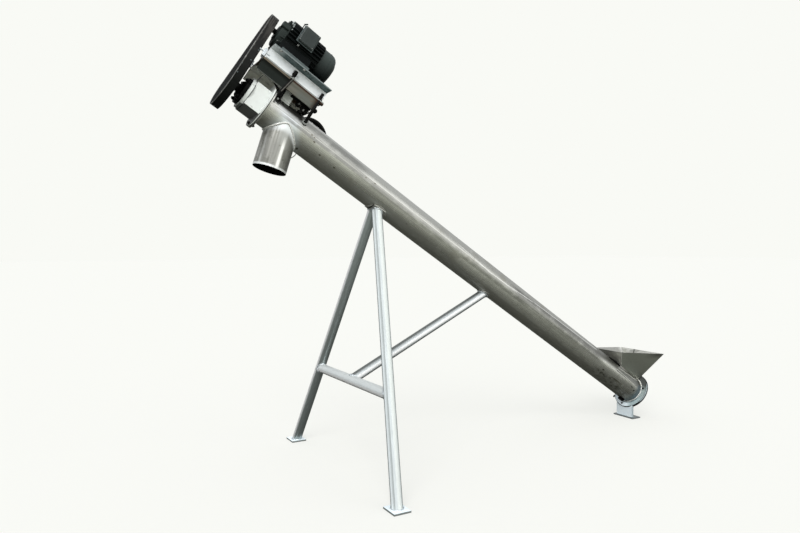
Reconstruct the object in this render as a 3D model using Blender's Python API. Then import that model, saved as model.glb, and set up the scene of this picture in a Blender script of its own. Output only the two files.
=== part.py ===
"""Inclined screw conveyor: a round tube on a low foot and an A-frame, with a feed hopper at its low end,
and a spout, a belt guard and a motor at its high end.

World frame in metres: +Z up, the floor at z = 0, the tube in the plane y = 0, rising towards -X.
The origin is under the middle of the low foot.
Tube frame: (s, y, v), where s runs up the tube's axis from its lower end, y is the world's y,
and v points away from the axis on the tube's upper side. It lies on an empty whose X axis is -s and Z axis is v.
"""

import math

import bmesh
import bpy
from mathutils import Matrix, Vector

# Gap between pieces that touch
GAP = 0.00032

# Tube line
SLOPE = math.radians(32.7)
TUBE_END = Vector((0.048, 0.0, 0.154))
TUBE_RADIUS = 0.0795
TUBE_WALL = 0.003
TUBE_LOW_S = 0.012
TUBE_HIGH_S = 2.893
ROUND_STEPS = 64
LOWER_FLANGE_RADIUS = 0.1150
COVER_RADIUS = 0.1120
UPPER_FLANGE_RADIUS = 0.1125
FLANGE_THICK = 0.008

# Screw
SHAFT_RADIUS = 0.0200
SHAFT_WALL = 0.0050
SHAFT_LOW_S = -0.034
SHAFT_HIGH_S = 3.062
FLIGHT_RADIUS = 0.0705
FLIGHT_THICK = 0.004
FLIGHT_PITCH = 0.140
FLIGHT_LOW_S = 0.030
FLIGHT_HIGH_S = 2.790
FLIGHT_STEPS = 16

# Inlet and hopper
INLET_LOW_S = 0.034
INLET_HIGH_S = 0.236
INLET_HALF_WIDTH = 0.040
HOPPER_SHEET = 0.003
HOPPER_FOOT_V = 0.0672
HOPPER_FOOT_HALF = 0.045
HOPPER_UPPER_GAP = 0.0035
HOPPER_FOOT_LOW_S = 0.024
HOPPER_FOOT_HIGH_S = 0.256
RIM_UPPER_X = -0.185
RIM_UPPER_Z = 0.439
RIM_UPPER_HALF = 0.117
RIM_LOWER_X = 0.137
RIM_LOWER_Z = 0.4105
RIM_LOWER_HALF = 0.169

# Spout
SPOUT_S = 2.775
SPOUT_TILT = math.radians(17.8)
SPOUT_RADIUS = 0.078
SPOUT_WALL = 0.003
SPOUT_LENGTH = 0.2304

# Low foot
FOOT_BASE_X = 0.070
FOOT_BASE_Y = 0.153
FOOT_BASE_THICK = 0.007
FOOT_POST_FRONT_X = -0.0250
FOOT_POST_BACK_X = -0.0093
FOOT_POST_HALF_Y = 0.060
FOOT_POST_SHEET = 0.006
COVER_THICK = 0.008

# Bearing end
HOUSING_HALF = 0.070
HOUSING_LOW_V = -0.064
HOUSING_HIGH_V = 0.055
HOUSING_LENGTH = 0.075
CAP_RADIUS = 0.078
CAP_THICK = 0.0160
BEARING_FLANGE_RADIUS = 0.063
BEARING_HUB_RADIUS = 0.040
BEARING_HUB_END_S = 3.023
BEARING_FLANGE_THICK = 0.016

# Belt guard
GUARD_S = 3.043
GUARD_DEPTH = 0.0375
GUARD_SHEET = 0.002
GUARD_EDGE = 0.004
GUARD_LOW_RADIUS = 0.112
GUARD_LOW_V = -0.020
GUARD_HIGH_RADIUS = 0.0525
GUARD_ARC_STEPS = 14

# Motor
MOTOR_V = 0.323
MOTOR_RADIUS = 0.0875
MOTOR_FIN_RADIUS = 0.0945
MOTOR_CORE_RADIUS = 0.0815
MOTOR_FINS = 30
MOTOR_FAN_LOW_S = 2.725
MOTOR_BODY_LOW_S = 2.806
MOTOR_BODY_HIGH_S = 2.984
MOTOR_FRONT_S = 3.018
FAN_COVER_CORNER = 0.034
FAN_COVER_SHEET = 0.002
MOTOR_SHIELD_RADIUS = 0.065
MOTOR_BOSS_RADIUS = 0.030
MOTOR_SHAFT_RADIUS = 0.012
MOTOR_SHAFT_END_S = 3.068
MOTOR_FOOT_LOW_S = 2.835
MOTOR_FOOT_HIGH_S = 2.990
BOX_LOW_S = 2.863
BOX_HIGH_S = 2.942
BOX_LOW_V = 0.309
BOX_HIGH_V = 0.388
BOX_FACE_Y = -0.127
BOX_LID = 0.010

# Motor bed
RAIL_LOW_S = 2.690
RAIL_HIGH_S = 3.010
RAIL_LOW_V = 0.1523
RAIL_HIGH_V = 0.2327
RAIL_WEB_Y = 0.045
RAIL_TIP_Y = 0.103
RAIL_SHEET = 0.0055
PLATFORM_LOW_S = 2.688
PLATFORM_SKIRT_LOW_S = 2.713
PLATFORM_HIGH_S = 3.018
PLATFORM_TOP_V = 0.152
PLATFORM_SHEET = 0.008
PLATFORM_HALF_Y = 0.103
PLATFORM_PRONG = 0.018
SKIRT_LOW_V = 0.086
LOW_SKIRT_LOW_V = 0.0965
LOW_SKIRT_HIGH_S = 2.872
SKIRT_SHEET = 0.005
STUD_RADIUS = 0.008
STUD_Y = 0.070
STUD_TOP_V = 0.203
STUD_LOW_V = {"upper": 0.045, "lower": 0.040}
STUD_S = {"upper": 2.863, "lower": 2.708}
SADDLE_REACH = math.radians(42.0)
SADDLE_SHEET = 0.005
SADDLE_LOW_S = 2.806
SADDLE_HIGH_S = 2.881
SADDLE_BLOCK_Y = 0.045

# Hand wheel
WHEEL_S = 2.618
WHEEL_V = 0.057
WHEEL_RADIUS = 0.098
WHEEL_RIM = 0.011
WHEEL_MID_Y = 0.108
WHEEL_WEB = 0.008
WHEEL_HUB_RADIUS = 0.020
WHEEL_HUB_HALF = 0.016
WHEEL_HOLES = 12
WHEEL_HOLE_RADIUS = 0.010
WHEEL_HOLE_CIRCLE = 0.066
AXLE_RADIUS = 0.008
BRACKET_RADIUS = 0.015

# A-frame
LEG_RADIUS = 0.0255
LEG_WALL = 0.003
LEG_FOOT_X = -2.018
LEG_FOOT_Y = 0.575
LEG_TOP_X = -1.817
LEG_TOP_Y = 0.0235
LEG_TOP_Z = 1.2586
BRACE_RADIUS = 0.0241
BRACE_WALL = 0.003
CROSS_BRACE_Z = 0.4315
DIAGONAL_TOP_X = -1.147
FOOT_PLATE_X = 0.080
FOOT_PLATE_Y = 0.095
FOOT_PLATE_THICK = 0.008
PAD_SHEET = 0.004
LEG_PAD_HALF_S = 0.056
LEG_PAD_REACH = math.radians(46.0)
BRACE_PAD_HALF_S = 0.036
BRACE_PAD_REACH = math.radians(27.0)


def clear_scene():
    for item in list(bpy.data.objects):
        bpy.data.objects.remove(item, do_unlink=True)


def finish(name, colour, roughness, metallic):
    """A plain Principled material."""
    material = bpy.data.materials.new(name)
    material.use_nodes = True
    shader = material.node_tree.nodes["Principled BSDF"]
    shader.inputs["Base Color"].default_value = (*colour, 1.0)
    shader.inputs["Roughness"].default_value = roughness
    shader.inputs["Metallic"].default_value = metallic
    return material


clear_scene()

STAINLESS = finish("stainless", (0.50, 0.50, 0.46), 0.38, 1.0)
HOPPER_STEEL = finish("hopper_steel", (0.36, 0.37, 0.34), 0.45, 1.0)
GALVANISED = finish("galvanised", (0.72, 0.77, 0.80), 0.42, 1.0)
BED_STEEL = finish("bed_steel", (0.25, 0.25, 0.22), 0.50, 1.0)
BLACK_PAINT = finish("black_paint", (0.020, 0.021, 0.020), 0.45, 0.0)
MOTOR_PAINT = finish("motor_paint", (0.035, 0.042, 0.042), 0.48, 0.0)
HOUSING_PAINT = finish("housing_paint", (0.62, 0.65, 0.63), 0.50, 0.0)
ROD_STEEL = finish("rod_steel", (0.05, 0.05, 0.05), 0.50, 1.0)

# The empty that carries everything on the tube's line
TUBE_LINE = bpy.data.objects.new("tube_line", None)
bpy.context.collection.objects.link(TUBE_LINE)
TUBE_LINE.location = TUBE_END
TUBE_LINE.rotation_euler = (0.0, SLOPE, 0.0)
TUBE_MATRIX = Matrix.Translation(TUBE_END) @ Matrix.Rotation(SLOPE, 4, "Y")


def tube_point(s, y, v):
    """World position of a point in the tube frame."""
    return TUBE_MATRIX @ Vector((-s, y, v))


def add_object(name, mesh_builder, material, parent=None, smooth=False):
    """Links a new object whose mesh is what mesh_builder puts into an empty bmesh."""
    shape = bmesh.new()
    mesh_builder(shape)
    bmesh.ops.recalc_face_normals(shape, faces=shape.faces)
    mesh = bpy.data.meshes.new(name)
    shape.to_mesh(mesh)
    shape.free()
    item = bpy.data.objects.new(name, mesh)
    bpy.context.collection.objects.link(item)
    item.parent = parent
    if material:
        mesh.materials.append(material)
    if smooth:
        mesh.shade_smooth()
        mesh.set_sharp_from_angle(angle=math.radians(35.0))
    return item


def add_cutter(name, mesh_builder, parent=None):
    item = add_object(name, mesh_builder, None, parent)
    item.hide_render = True
    item.display_type = "WIRE"
    return item


def cut(item, cutter, operation="DIFFERENCE"):
    modifier = item.modifiers.new(cutter.name, "BOOLEAN")
    modifier.operation = operation
    modifier.solver = "EXACT"
    modifier.object = cutter


def block(low, high):
    """A box between two corners."""
    def build(shape):
        size = Vector(high) - Vector(low)
        middle = (Vector(high) + Vector(low)) / 2
        matrix = Matrix.Translation(middle) @ Matrix.Diagonal((*size, 1.0))
        bmesh.ops.create_cube(shape, size=1.0, matrix=matrix)
    return build


def tube_block(low, high):
    """A box between two (s, y, v) corners, in the tube empty's own coordinates."""
    return block((-high[0], low[1], low[2]), (-low[0], high[1], high[2]))


def bridge(shape, loop, other):
    """Joins two equally long closed loops with quads."""
    count = len(loop)
    for i in range(count):
        j = (i + 1) % count
        shape.faces.new((loop[i], loop[j], other[j], other[i]))


def loft(loops, closed=False):
    """Skins a list of equally long point loops, and either caps the two ends or joins them in a ring."""
    def build(shape):
        rings = [[shape.verts.new(p) for p in loop] for loop in loops]
        for first, second in zip(rings, rings[1:]):
            bridge(shape, first, second)
        if closed:
            bridge(shape, rings[-1], rings[0])
        else:
            shape.faces.new(rings[0])
            shape.faces.new(rings[-1])
    return build


def turned(profile, axis, middle=(0.0, 0.0), steps=ROUND_STEPS, closed=True, start=0.0):
    """Turns (radius, distance) points round an axis.

    axis "s" runs along the tube, with middle as (y, v). axis "y" runs across it, with middle as (s, v).
    A closed profile gives a ring, an open one starts and ends on the axis with flat ends.
    """
    def place(radius, along, angle):
        a = middle[0] + radius * math.sin(angle)
        b = middle[1] + radius * math.cos(angle)
        if axis == "s":
            return (-along, a, b)
        return (-a, along, b)

    angles = [start + math.tau * k / steps for k in range(steps)]
    return loft([[place(r, d, angle) for angle in angles] for r, d in profile], closed)


def pipe_profile(outer, inner, low, high):
    return [(outer, low), (outer, high), (inner, high), (inner, low)]


def rod_profile(radius, low, high):
    return [(radius, low), (radius, high)]


def along_line(start, end, radius, inner=None, steps=32):
    """A round bar or pipe between two world points."""
    def build(shape):
        start_point, end_point = Vector(start), Vector(end)
        turn = (end_point - start_point).to_track_quat("Z", "Y").to_matrix()
        loops = []
        sides = [(radius, start_point), (radius, end_point)]
        if inner:
            sides += [(inner, end_point), (inner, start_point)]
        for r, place in sides:
            loops.append([
                place + turn @ Vector((r * math.cos(a), r * math.sin(a), 0.0))
                for a in (math.tau * k / steps for k in range(steps))
            ])
        loft(loops, closed=bool(inner))(shape)
    return build


def extruded(outline, low_s, high_s):
    """A (y, v) outline carried along the tube's line."""
    return loft([[(-s, y, v) for y, v in outline] for s in (low_s, high_s)])


def arc(middle, radius, first, last, steps):
    """Points of an arc in the (y, v) plane, its angles counted from +v towards +y."""
    return [
        (
            middle[0] + radius * math.sin(first + (last - first) * k / steps),
            middle[1] + radius * math.cos(first + (last - first) * k / steps),
        )
        for k in range(steps + 1)
    ]


# Cutters that several pieces share: the tube with a gap round it, and the tube with its pads
TUBE_CUTTER = add_cutter(
    "cut_tube",
    turned(rod_profile(TUBE_RADIUS + GAP, -0.05, TUBE_HIGH_S + 0.05), "s", closed=False),
    TUBE_LINE,
)
PAD_RADIUS = TUBE_RADIUS + GAP + PAD_SHEET
PAD_CUTTER = add_cutter(
    "cut_pads",
    turned(rod_profile(PAD_RADIUS + 2 * GAP, -0.05, TUBE_HIGH_S + 0.05), "s", closed=False),
    TUBE_LINE,
)

SPOUT_AXIS = Vector((-math.sin(SPOUT_TILT), 0.0, -math.cos(SPOUT_TILT)))


def spout_point(distance):
    """World point on the spout's axis, counted from the tube's axis."""
    return tube_point(SPOUT_S, 0.0, 0.0) + SPOUT_AXIS * distance


def make_tube():
    tube = add_object(
        "conveyor_tube",
        turned(pipe_profile(TUBE_RADIUS, TUBE_RADIUS - TUBE_WALL, TUBE_LOW_S, TUBE_HIGH_S), "s"),
        STAINLESS, TUBE_LINE, smooth=True,
    )
    inlet = add_cutter(
        "cut_inlet",
        tube_block(
            (INLET_LOW_S, -INLET_HALF_WIDTH, 0.0),
            (INLET_HIGH_S, INLET_HALF_WIDTH, TUBE_RADIUS + 0.02),
        ),
        TUBE_LINE,
    )
    outlet = add_cutter(
        "cut_outlet",
        along_line(spout_point(0.0), spout_point(0.16), SPOUT_RADIUS - SPOUT_WALL, steps=48),
    )
    cut(tube, inlet)
    cut(tube, outlet)


def make_flanges():
    bore = TUBE_RADIUS + GAP
    for name, radius, low in (
        ("lower_flange", LOWER_FLANGE_RADIUS, TUBE_LOW_S),
        ("upper_flange", UPPER_FLANGE_RADIUS, TUBE_HIGH_S - FLANGE_THICK),
    ):
        profile = pipe_profile(radius, bore, low, low + FLANGE_THICK)
        add_object(name, turned(profile, "s"), STAINLESS, TUBE_LINE, smooth=True)


def make_lower_end():
    bore = SHAFT_RADIUS + GAP
    high = TUBE_LOW_S - GAP
    low = high - COVER_THICK
    add_object(
        "lower_end_cover", turned(pipe_profile(COVER_RADIUS, bore, low, high), "s"),
        GALVANISED, TUBE_LINE, smooth=True,
    )
    top = low - GAP
    nose = SHAFT_LOW_S - 0.012
    outline = [
        (0.052, top), (0.052, top - 0.010), (0.040, top - 0.016), (0.038, nose + 0.004), (0.034, nose),
        (0.004, nose), (0.004, SHAFT_LOW_S - GAP), (bore, SHAFT_LOW_S - GAP), (bore, top),
    ]
    add_object("lower_bearing", turned(outline, "s"), BLACK_PAINT, TUBE_LINE, smooth=True)


def make_lower_foot():
    half_x = FOOT_BASE_X / 2
    half_y = FOOT_BASE_Y / 2
    add_object(
        "lower_foot_base", block((-half_x, -half_y, 0.0), (half_x, half_y, FOOT_BASE_THICK)),
        GALVANISED,
    )
    # An upright with two short folded edges, cut off under the flange's rim
    inner = FOOT_POST_HALF_Y - FOOT_POST_SHEET
    plan = [
        (FOOT_POST_FRONT_X, -FOOT_POST_HALF_Y), (FOOT_POST_BACK_X, -FOOT_POST_HALF_Y),
        (FOOT_POST_BACK_X, -inner), (FOOT_POST_FRONT_X + FOOT_POST_SHEET, -inner),
        (FOOT_POST_FRONT_X + FOOT_POST_SHEET, inner), (FOOT_POST_BACK_X, inner),
        (FOOT_POST_BACK_X, FOOT_POST_HALF_Y), (FOOT_POST_FRONT_X, FOOT_POST_HALF_Y),
    ]
    heights = (FOOT_BASE_THICK + GAP, 0.16)
    post = add_object(
        "lower_foot_post", loft([[(x, y, z) for x, y in plan] for z in heights]), GALVANISED,
    )
    over = add_cutter(
        "cut_foot_post",
        turned(rod_profile(LOWER_FLANGE_RADIUS + GAP, -0.15, 0.15), "s", steps=128, closed=False), TUBE_LINE,
    )
    cut(post, over)


def plane_through(point, first, second):
    """A plane as (normal, distance), through a point and along two directions."""
    normal = first.cross(second).normalized()
    return normal, normal.dot(point)


def meet(*planes):
    """The point where three planes meet."""
    rows = Matrix([plane[0] for plane in planes])
    return rows.inverted() @ Vector([plane[1] for plane in planes])


def make_hopper():
    """Four flat sheets, mitred at the corners, that flare from the inlet to a rim that tips to the low end."""
    across = Vector((0.0, 1.0, 0.0))
    line = tube_point(1.0, 0.0, 0.0) - tube_point(0.0, 0.0, 0.0)
    upper_rim = Vector((RIM_UPPER_X, RIM_UPPER_HALF, RIM_UPPER_Z))
    lower_rim = Vector((RIM_LOWER_X, RIM_LOWER_HALF, RIM_LOWER_Z))
    middle = tube_point((HOPPER_FOOT_LOW_S + HOPPER_FOOT_HIGH_S) / 2, 0.0, 0.2)
    mirror = Matrix.Diagonal((1.0, -1.0, 1.0))

    def wall_plane(point, first, second):
        """A wall's plane with its normal pointing out of the hopper."""
        normal, distance = plane_through(point, first, second)
        if normal.dot(middle) > distance:
            return -normal, -distance
        return normal, distance

    foot_mid = tube_point((HOPPER_FOOT_LOW_S + HOPPER_FOOT_HIGH_S) / 2, HOPPER_FOOT_HALF, HOPPER_FOOT_V)
    upper_foot = tube_point(HOPPER_FOOT_HIGH_S, 0.0, HOPPER_FOOT_V)
    lower_foot = tube_point(HOPPER_FOOT_LOW_S, 0.0, HOPPER_FOOT_V)
    right = wall_plane(upper_rim, lower_rim - upper_rim, foot_mid - upper_rim)
    left_normal = mirror @ right[0]
    planes = {
        "upper": wall_plane(upper_rim, across, upper_foot - Vector((RIM_UPPER_X, 0.0, RIM_UPPER_Z))),
        "right": right,
        "lower": wall_plane(lower_rim, across, lower_foot - Vector((RIM_LOWER_X, 0.0, RIM_LOWER_Z))),
        "left": (left_normal, right[1]),
    }
    rim = plane_through(upper_rim, across, lower_rim - upper_rim)
    foot = plane_through(upper_foot, across, line)
    raised = add_cutter(
        "cut_hopper_upper_wall",
        turned(rod_profile(TUBE_RADIUS + HOPPER_UPPER_GAP, -0.05, 0.6), "s", closed=False), TUBE_LINE,
    )
    order = ["upper", "right", "lower", "left"]
    for index, name in enumerate(order):
        before = planes[order[index - 1]]
        after = planes[order[(index + 1) % 4]]
        own = planes[name]
        corners = []
        for inset in (0.0, HOPPER_SHEET):
            skins = [(plane[0], plane[1] - inset) for plane in (own, before, after)]
            corners.append([
                meet(skins[0], skins[1], rim), meet(skins[0], skins[2], rim),
                meet(skins[0], skins[2], foot), meet(skins[0], skins[1], foot),
            ])
        along = (corners[0][1] - corners[0][0]).normalized() * GAP
        for loop in corners:
            for number, sign in enumerate((1, -1, -1, 1)):
                loop[number] = loop[number] + along * sign
        wall = add_object("hopper_%s_wall" % name, loft(corners), HOPPER_STEEL)
        cut(wall, raised if name == "upper" else TUBE_CUTTER)


def make_spout():
    spout = add_object(
        "outlet_spout",
        along_line(
            spout_point(0.0), spout_point(SPOUT_LENGTH), SPOUT_RADIUS,
            inner=SPOUT_RADIUS - SPOUT_WALL, steps=48,
        ),
        STAINLESS, smooth=True,
    )
    cut(spout, TUBE_CUTTER)


def make_screw():
    shaft = pipe_profile(SHAFT_RADIUS, SHAFT_RADIUS - SHAFT_WALL, SHAFT_LOW_S, SHAFT_HIGH_S)
    add_object("screw_shaft", turned(shaft, "s", steps=32), ROD_STEEL, TUBE_LINE, smooth=True)
    root = (SHAFT_RADIUS + GAP) / math.cos(math.pi / FLIGHT_STEPS) + 0.0001
    turns = (FLIGHT_HIGH_S - FLIGHT_LOW_S) / FLIGHT_PITCH
    steps = round(turns * FLIGHT_STEPS)
    loops = []
    for k in range(steps + 1):
        angle = math.tau * k / FLIGHT_STEPS
        s = FLIGHT_LOW_S + FLIGHT_PITCH * k / FLIGHT_STEPS
        loops.append([
            (-s - side * FLIGHT_THICK / 2, radius * math.sin(angle), radius * math.cos(angle))
            for radius, side in ((root, -1), (FLIGHT_RADIUS, -1), (FLIGHT_RADIUS, 1), (root, 1))
        ])
    add_object("screw_flight", loft(loops), STAINLESS, TUBE_LINE)


def make_bearing_end():
    bore = SHAFT_RADIUS + GAP
    flange_low = TUBE_HIGH_S + GAP
    box_low = flange_low + FLANGE_THICK
    box_high = box_low + HOUSING_LENGTH
    housing = add_object(
        "bearing_housing",
        tube_block(
            (box_low - 0.002, -HOUSING_HALF, HOUSING_LOW_V), (box_high, HOUSING_HALF, HOUSING_HIGH_V),
        ),
        HOUSING_PAINT, TUBE_LINE,
    )
    flange = add_cutter(
        "join_housing_flange",
        turned(rod_profile(UPPER_FLANGE_RADIUS, flange_low, box_low), "s", closed=False), TUBE_LINE,
    )
    hole = add_cutter(
        "cut_housing_bore",
        turned(rod_profile(bore, flange_low - 0.01, box_high + 0.01), "s", steps=32, closed=False), TUBE_LINE,
    )
    cut(housing, flange, "UNION")
    cut(housing, hole)
    cap_low = box_high + GAP
    cap_high = cap_low + CAP_THICK
    add_object(
        "housing_cap", turned(pipe_profile(CAP_RADIUS, bore, cap_low, cap_high), "s"),
        HOUSING_PAINT, TUBE_LINE, smooth=True,
    )
    low = cap_high + GAP
    shoulder = low + BEARING_FLANGE_THICK
    profile = [
        (BEARING_FLANGE_RADIUS, low), (BEARING_FLANGE_RADIUS, shoulder),
        (BEARING_HUB_RADIUS + 0.005, shoulder + 0.003), (BEARING_HUB_RADIUS, BEARING_HUB_END_S - 0.005),
        (BEARING_HUB_RADIUS - 0.005, BEARING_HUB_END_S), (bore, BEARING_HUB_END_S), (bore, low),
    ]
    add_object("outer_bearing", turned(profile, "s"), BLACK_PAINT, TUBE_LINE, smooth=True)


def guard_outline(inset):
    """Two arcs joined by their tangents, drawn in by inset."""
    low_r = GUARD_LOW_RADIUS - inset
    high_r = GUARD_HIGH_RADIUS - inset
    lean = math.asin((GUARD_LOW_RADIUS - GUARD_HIGH_RADIUS) / (MOTOR_V - GUARD_LOW_V))
    side = math.pi / 2 - lean
    top = arc((0.0, MOTOR_V), high_r, -side, side, GUARD_ARC_STEPS)
    bottom = arc((0.0, GUARD_LOW_V), low_r, side, math.tau - side, GUARD_ARC_STEPS + 6)
    return top + bottom


def make_guard():
    plate = add_object(
        "guard_back_plate", extruded(guard_outline(0.0), GUARD_S, GUARD_S + GUARD_SHEET),
        BLACK_PAINT, TUBE_LINE,
    )
    for name, radius, v in (
        ("cut_guard_screw_hole", SHAFT_RADIUS + GAP, 0.0),
        ("cut_guard_motor_hole", MOTOR_SHAFT_RADIUS + GAP, MOTOR_V),
    ):
        hole = add_cutter(
            name,
            turned(rod_profile(radius, GUARD_S - 0.01, GUARD_S + 0.01), "s", (0.0, v), 32, closed=False),
            TUBE_LINE,
        )
        cut(plate, hole)
    low = GUARD_S + GUARD_SHEET + GAP
    high = GUARD_S + GUARD_DEPTH
    layers = [
        (GUARD_SHEET, high - GUARD_SHEET), (GUARD_SHEET, low), (0.0, low),
        (0.0, high - GUARD_EDGE), (GUARD_EDGE, high),
    ]
    loops = [[(-s, y, v) for y, v in guard_outline(inset)] for inset, s in layers]
    add_object("guard_cover", loft(loops), BLACK_PAINT, TUBE_LINE, smooth=True)


def fin_outline():
    """The motor body's cross section: a round core with straight fins."""
    outline = []
    for k in range(MOTOR_FINS):
        middle = math.tau * (k + 0.5) / MOTOR_FINS
        root = math.tau * 0.25 / MOTOR_FINS
        tip = math.tau * 0.12 / MOTOR_FINS
        for radius, offset in (
            (MOTOR_CORE_RADIUS, -root), (MOTOR_FIN_RADIUS, -tip), (MOTOR_FIN_RADIUS, tip),
            (MOTOR_CORE_RADIUS, root),
        ):
            angle = middle + offset
            outline.append((radius * math.sin(angle), MOTOR_V + radius * math.cos(angle)))
    return outline


def fan_cover_corner(inset):
    """The rounded corner of the fan cover's profile, drawn in by inset."""
    middle = (MOTOR_RADIUS - FAN_COVER_CORNER, MOTOR_FAN_LOW_S + FAN_COVER_CORNER)
    radius = FAN_COVER_CORNER - inset
    return [
        (middle[0] + radius * math.sin(turn), middle[1] - radius * math.cos(turn))
        for turn in (math.pi / 2 * k / 5 for k in range(6))
    ]


def make_motor():
    axis = (0.0, MOTOR_V)
    add_object(
        "motor_body", extruded(fin_outline(), MOTOR_BODY_LOW_S, MOTOR_BODY_HIGH_S), MOTOR_PAINT, TUBE_LINE,
    )
    low = MOTOR_BODY_HIGH_S + GAP
    bore = MOTOR_SHAFT_RADIUS + GAP
    shield = [
        (MOTOR_CORE_RADIUS, low), (MOTOR_CORE_RADIUS, low + 0.003), (MOTOR_SHIELD_RADIUS, low + 0.005),
        (MOTOR_SHIELD_RADIUS, MOTOR_FRONT_S - 0.004), (MOTOR_SHIELD_RADIUS - 0.006, MOTOR_FRONT_S),
        (MOTOR_BOSS_RADIUS, MOTOR_FRONT_S),
        (MOTOR_BOSS_RADIUS - 0.002, MOTOR_FRONT_S + 0.006), (bore, MOTOR_FRONT_S + 0.006), (bore, low),
    ]
    add_object("motor_front_shield", turned(shield, "s", axis, 48), MOTOR_PAINT, TUBE_LINE, smooth=True)
    cover_high = MOTOR_BODY_LOW_S - GAP
    inside = MOTOR_RADIUS - FAN_COVER_SHEET
    cover = fan_cover_corner(0.0) + [(MOTOR_RADIUS, cover_high), (inside, cover_high)]
    cover += fan_cover_corner(FAN_COVER_SHEET)[::-1]
    add_object(
        "motor_fan_cover", turned(cover, "s", axis, 48, closed=False), MOTOR_PAINT, TUBE_LINE, smooth=True,
    )
    add_object(
        "motor_shaft",
        turned(rod_profile(MOTOR_SHAFT_RADIUS, low + 0.002, MOTOR_SHAFT_END_S), "s", axis, 24, closed=False),
        ROD_STEEL, TUBE_LINE, smooth=True,
    )
    hug = MOTOR_FIN_RADIUS + GAP
    for name, side in (("left_motor_foot", -1), ("right_motor_foot", 1)):
        plane = RAIL_HIGH_V + GAP
        outline = arc(axis, hug, math.radians(114), math.radians(148), 8)
        outline += [(0.0502, plane), (0.091, plane), (0.091, plane + 0.012)]
        add_object(
            name, extruded([(side * y, v) for y, v in outline], MOTOR_FOOT_LOW_S, MOTOR_FOOT_HIGH_S),
            MOTOR_PAINT, TUBE_LINE,
        )


def make_terminal_box():
    """A square box on the motor's left side, with a lid a little wider than the box."""
    layers = [
        (0.006, -0.060), (0.006, BOX_FACE_Y + BOX_LID), (0.0, BOX_FACE_Y + BOX_LID),
        (0.0, BOX_FACE_Y + 0.003), (0.004, BOX_FACE_Y),
    ]
    loops = []
    for inset, y in layers:
        s_pair = (BOX_LOW_S + inset, BOX_HIGH_S - inset)
        v_pair = (BOX_LOW_V + inset, BOX_HIGH_V - inset)
        loops.append([
            (-s_pair[0], y, v_pair[0]), (-s_pair[1], y, v_pair[0]),
            (-s_pair[1], y, v_pair[1]), (-s_pair[0], y, v_pair[1]),
        ])
    box = add_object("terminal_box", loft(loops), MOTOR_PAINT, TUBE_LINE)
    body = add_cutter(
        "cut_terminal_box",
        turned(
            rod_profile(MOTOR_FIN_RADIUS + GAP, MOTOR_BODY_LOW_S, MOTOR_BODY_HIGH_S),
            "s", (0.0, MOTOR_V), 60, closed=False,
        ),
        TUBE_LINE,
    )
    cut(box, body)


def make_bed():
    sheet = RAIL_SHEET
    section = [
        (RAIL_WEB_Y, RAIL_LOW_V), (RAIL_TIP_Y, RAIL_LOW_V), (RAIL_TIP_Y, RAIL_LOW_V + sheet),
        (RAIL_WEB_Y + sheet, RAIL_LOW_V + sheet), (RAIL_WEB_Y + sheet, RAIL_HIGH_V - sheet),
        (RAIL_TIP_Y, RAIL_HIGH_V - sheet), (RAIL_TIP_Y, RAIL_HIGH_V), (RAIL_WEB_Y, RAIL_HIGH_V),
    ]
    under = PLATFORM_TOP_V - PLATFORM_SHEET
    inner = PLATFORM_HALF_Y - SKIRT_SHEET
    channel = [
        (-PLATFORM_HALF_Y, SKIRT_LOW_V), (-inner, SKIRT_LOW_V), (-inner, under), (inner, under),
        (inner, SKIRT_LOW_V), (PLATFORM_HALF_Y, SKIRT_LOW_V), (PLATFORM_HALF_Y, PLATFORM_TOP_V),
        (-PLATFORM_HALF_Y, PLATFORM_TOP_V),
    ]
    rails = {}
    for name, side in (("left", -1), ("right", 1)):
        outline = [(side * y, v) for y, v in section]
        rails[name] = add_object(
            "%s_rail" % name, extruded(outline, RAIL_LOW_S, RAIL_HIGH_S), GALVANISED, TUBE_LINE,
        )
    platform = add_object(
        "platform", extruded(channel, PLATFORM_LOW_S, PLATFORM_HIGH_S), BED_STEEL, TUBE_LINE,
    )
    notch = add_cutter(
        "cut_platform_end",
        tube_block((PLATFORM_LOW_S - 0.02, -0.2, 0.0), (PLATFORM_SKIRT_LOW_S, 0.2, under)),
        TUBE_LINE,
    )
    cut(platform, notch)
    prongs = add_cutter(
        "cut_platform_prongs",
        tube_block(
            (PLATFORM_LOW_S - 0.02, PLATFORM_PRONG - PLATFORM_HALF_Y, 0.1),
            (PLATFORM_SKIRT_LOW_S, PLATFORM_HALF_Y - PLATFORM_PRONG, 0.2),
        ),
        TUBE_LINE,
    )
    cut(platform, prongs)
    step = add_cutter(
        "cut_platform_skirts",
        tube_block((PLATFORM_LOW_S - 0.02, -0.2, 0.0), (LOW_SKIRT_HIGH_S, 0.2, LOW_SKIRT_LOW_V)),
        TUBE_LINE,
    )
    cut(platform, step)
    for end, s in STUD_S.items():
        for name, side in (("left", -1), ("right", 1)):
            middle = (side * STUD_Y, s)
            stud = add_object(
                "%s_%s_stud" % (name, end), upright_rod(middle, STUD_RADIUS, STUD_LOW_V[end], STUD_TOP_V),
                ROD_STEEL, TUBE_LINE, smooth=True,
            )
            cut(stud, TUBE_CUTTER)
            hole = add_cutter(
                "cut_%s_%s_stud" % (name, end),
                upright_rod(middle, STUD_RADIUS + GAP, 0.13, RAIL_LOW_V + 0.02), TUBE_LINE,
            )
            cut(platform, hole)
            cut(rails[name], hole)


def upright_rod(middle, radius, low_v, high_v, steps=24):
    """A round bar along v at (y, s)."""
    y, s = middle
    return loft([
        [
            (-s + radius * math.cos(a), y + radius * math.sin(a), v)
            for a in (math.tau * k / steps for k in range(steps))
        ]
        for v in (low_v, high_v)
    ])


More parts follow.
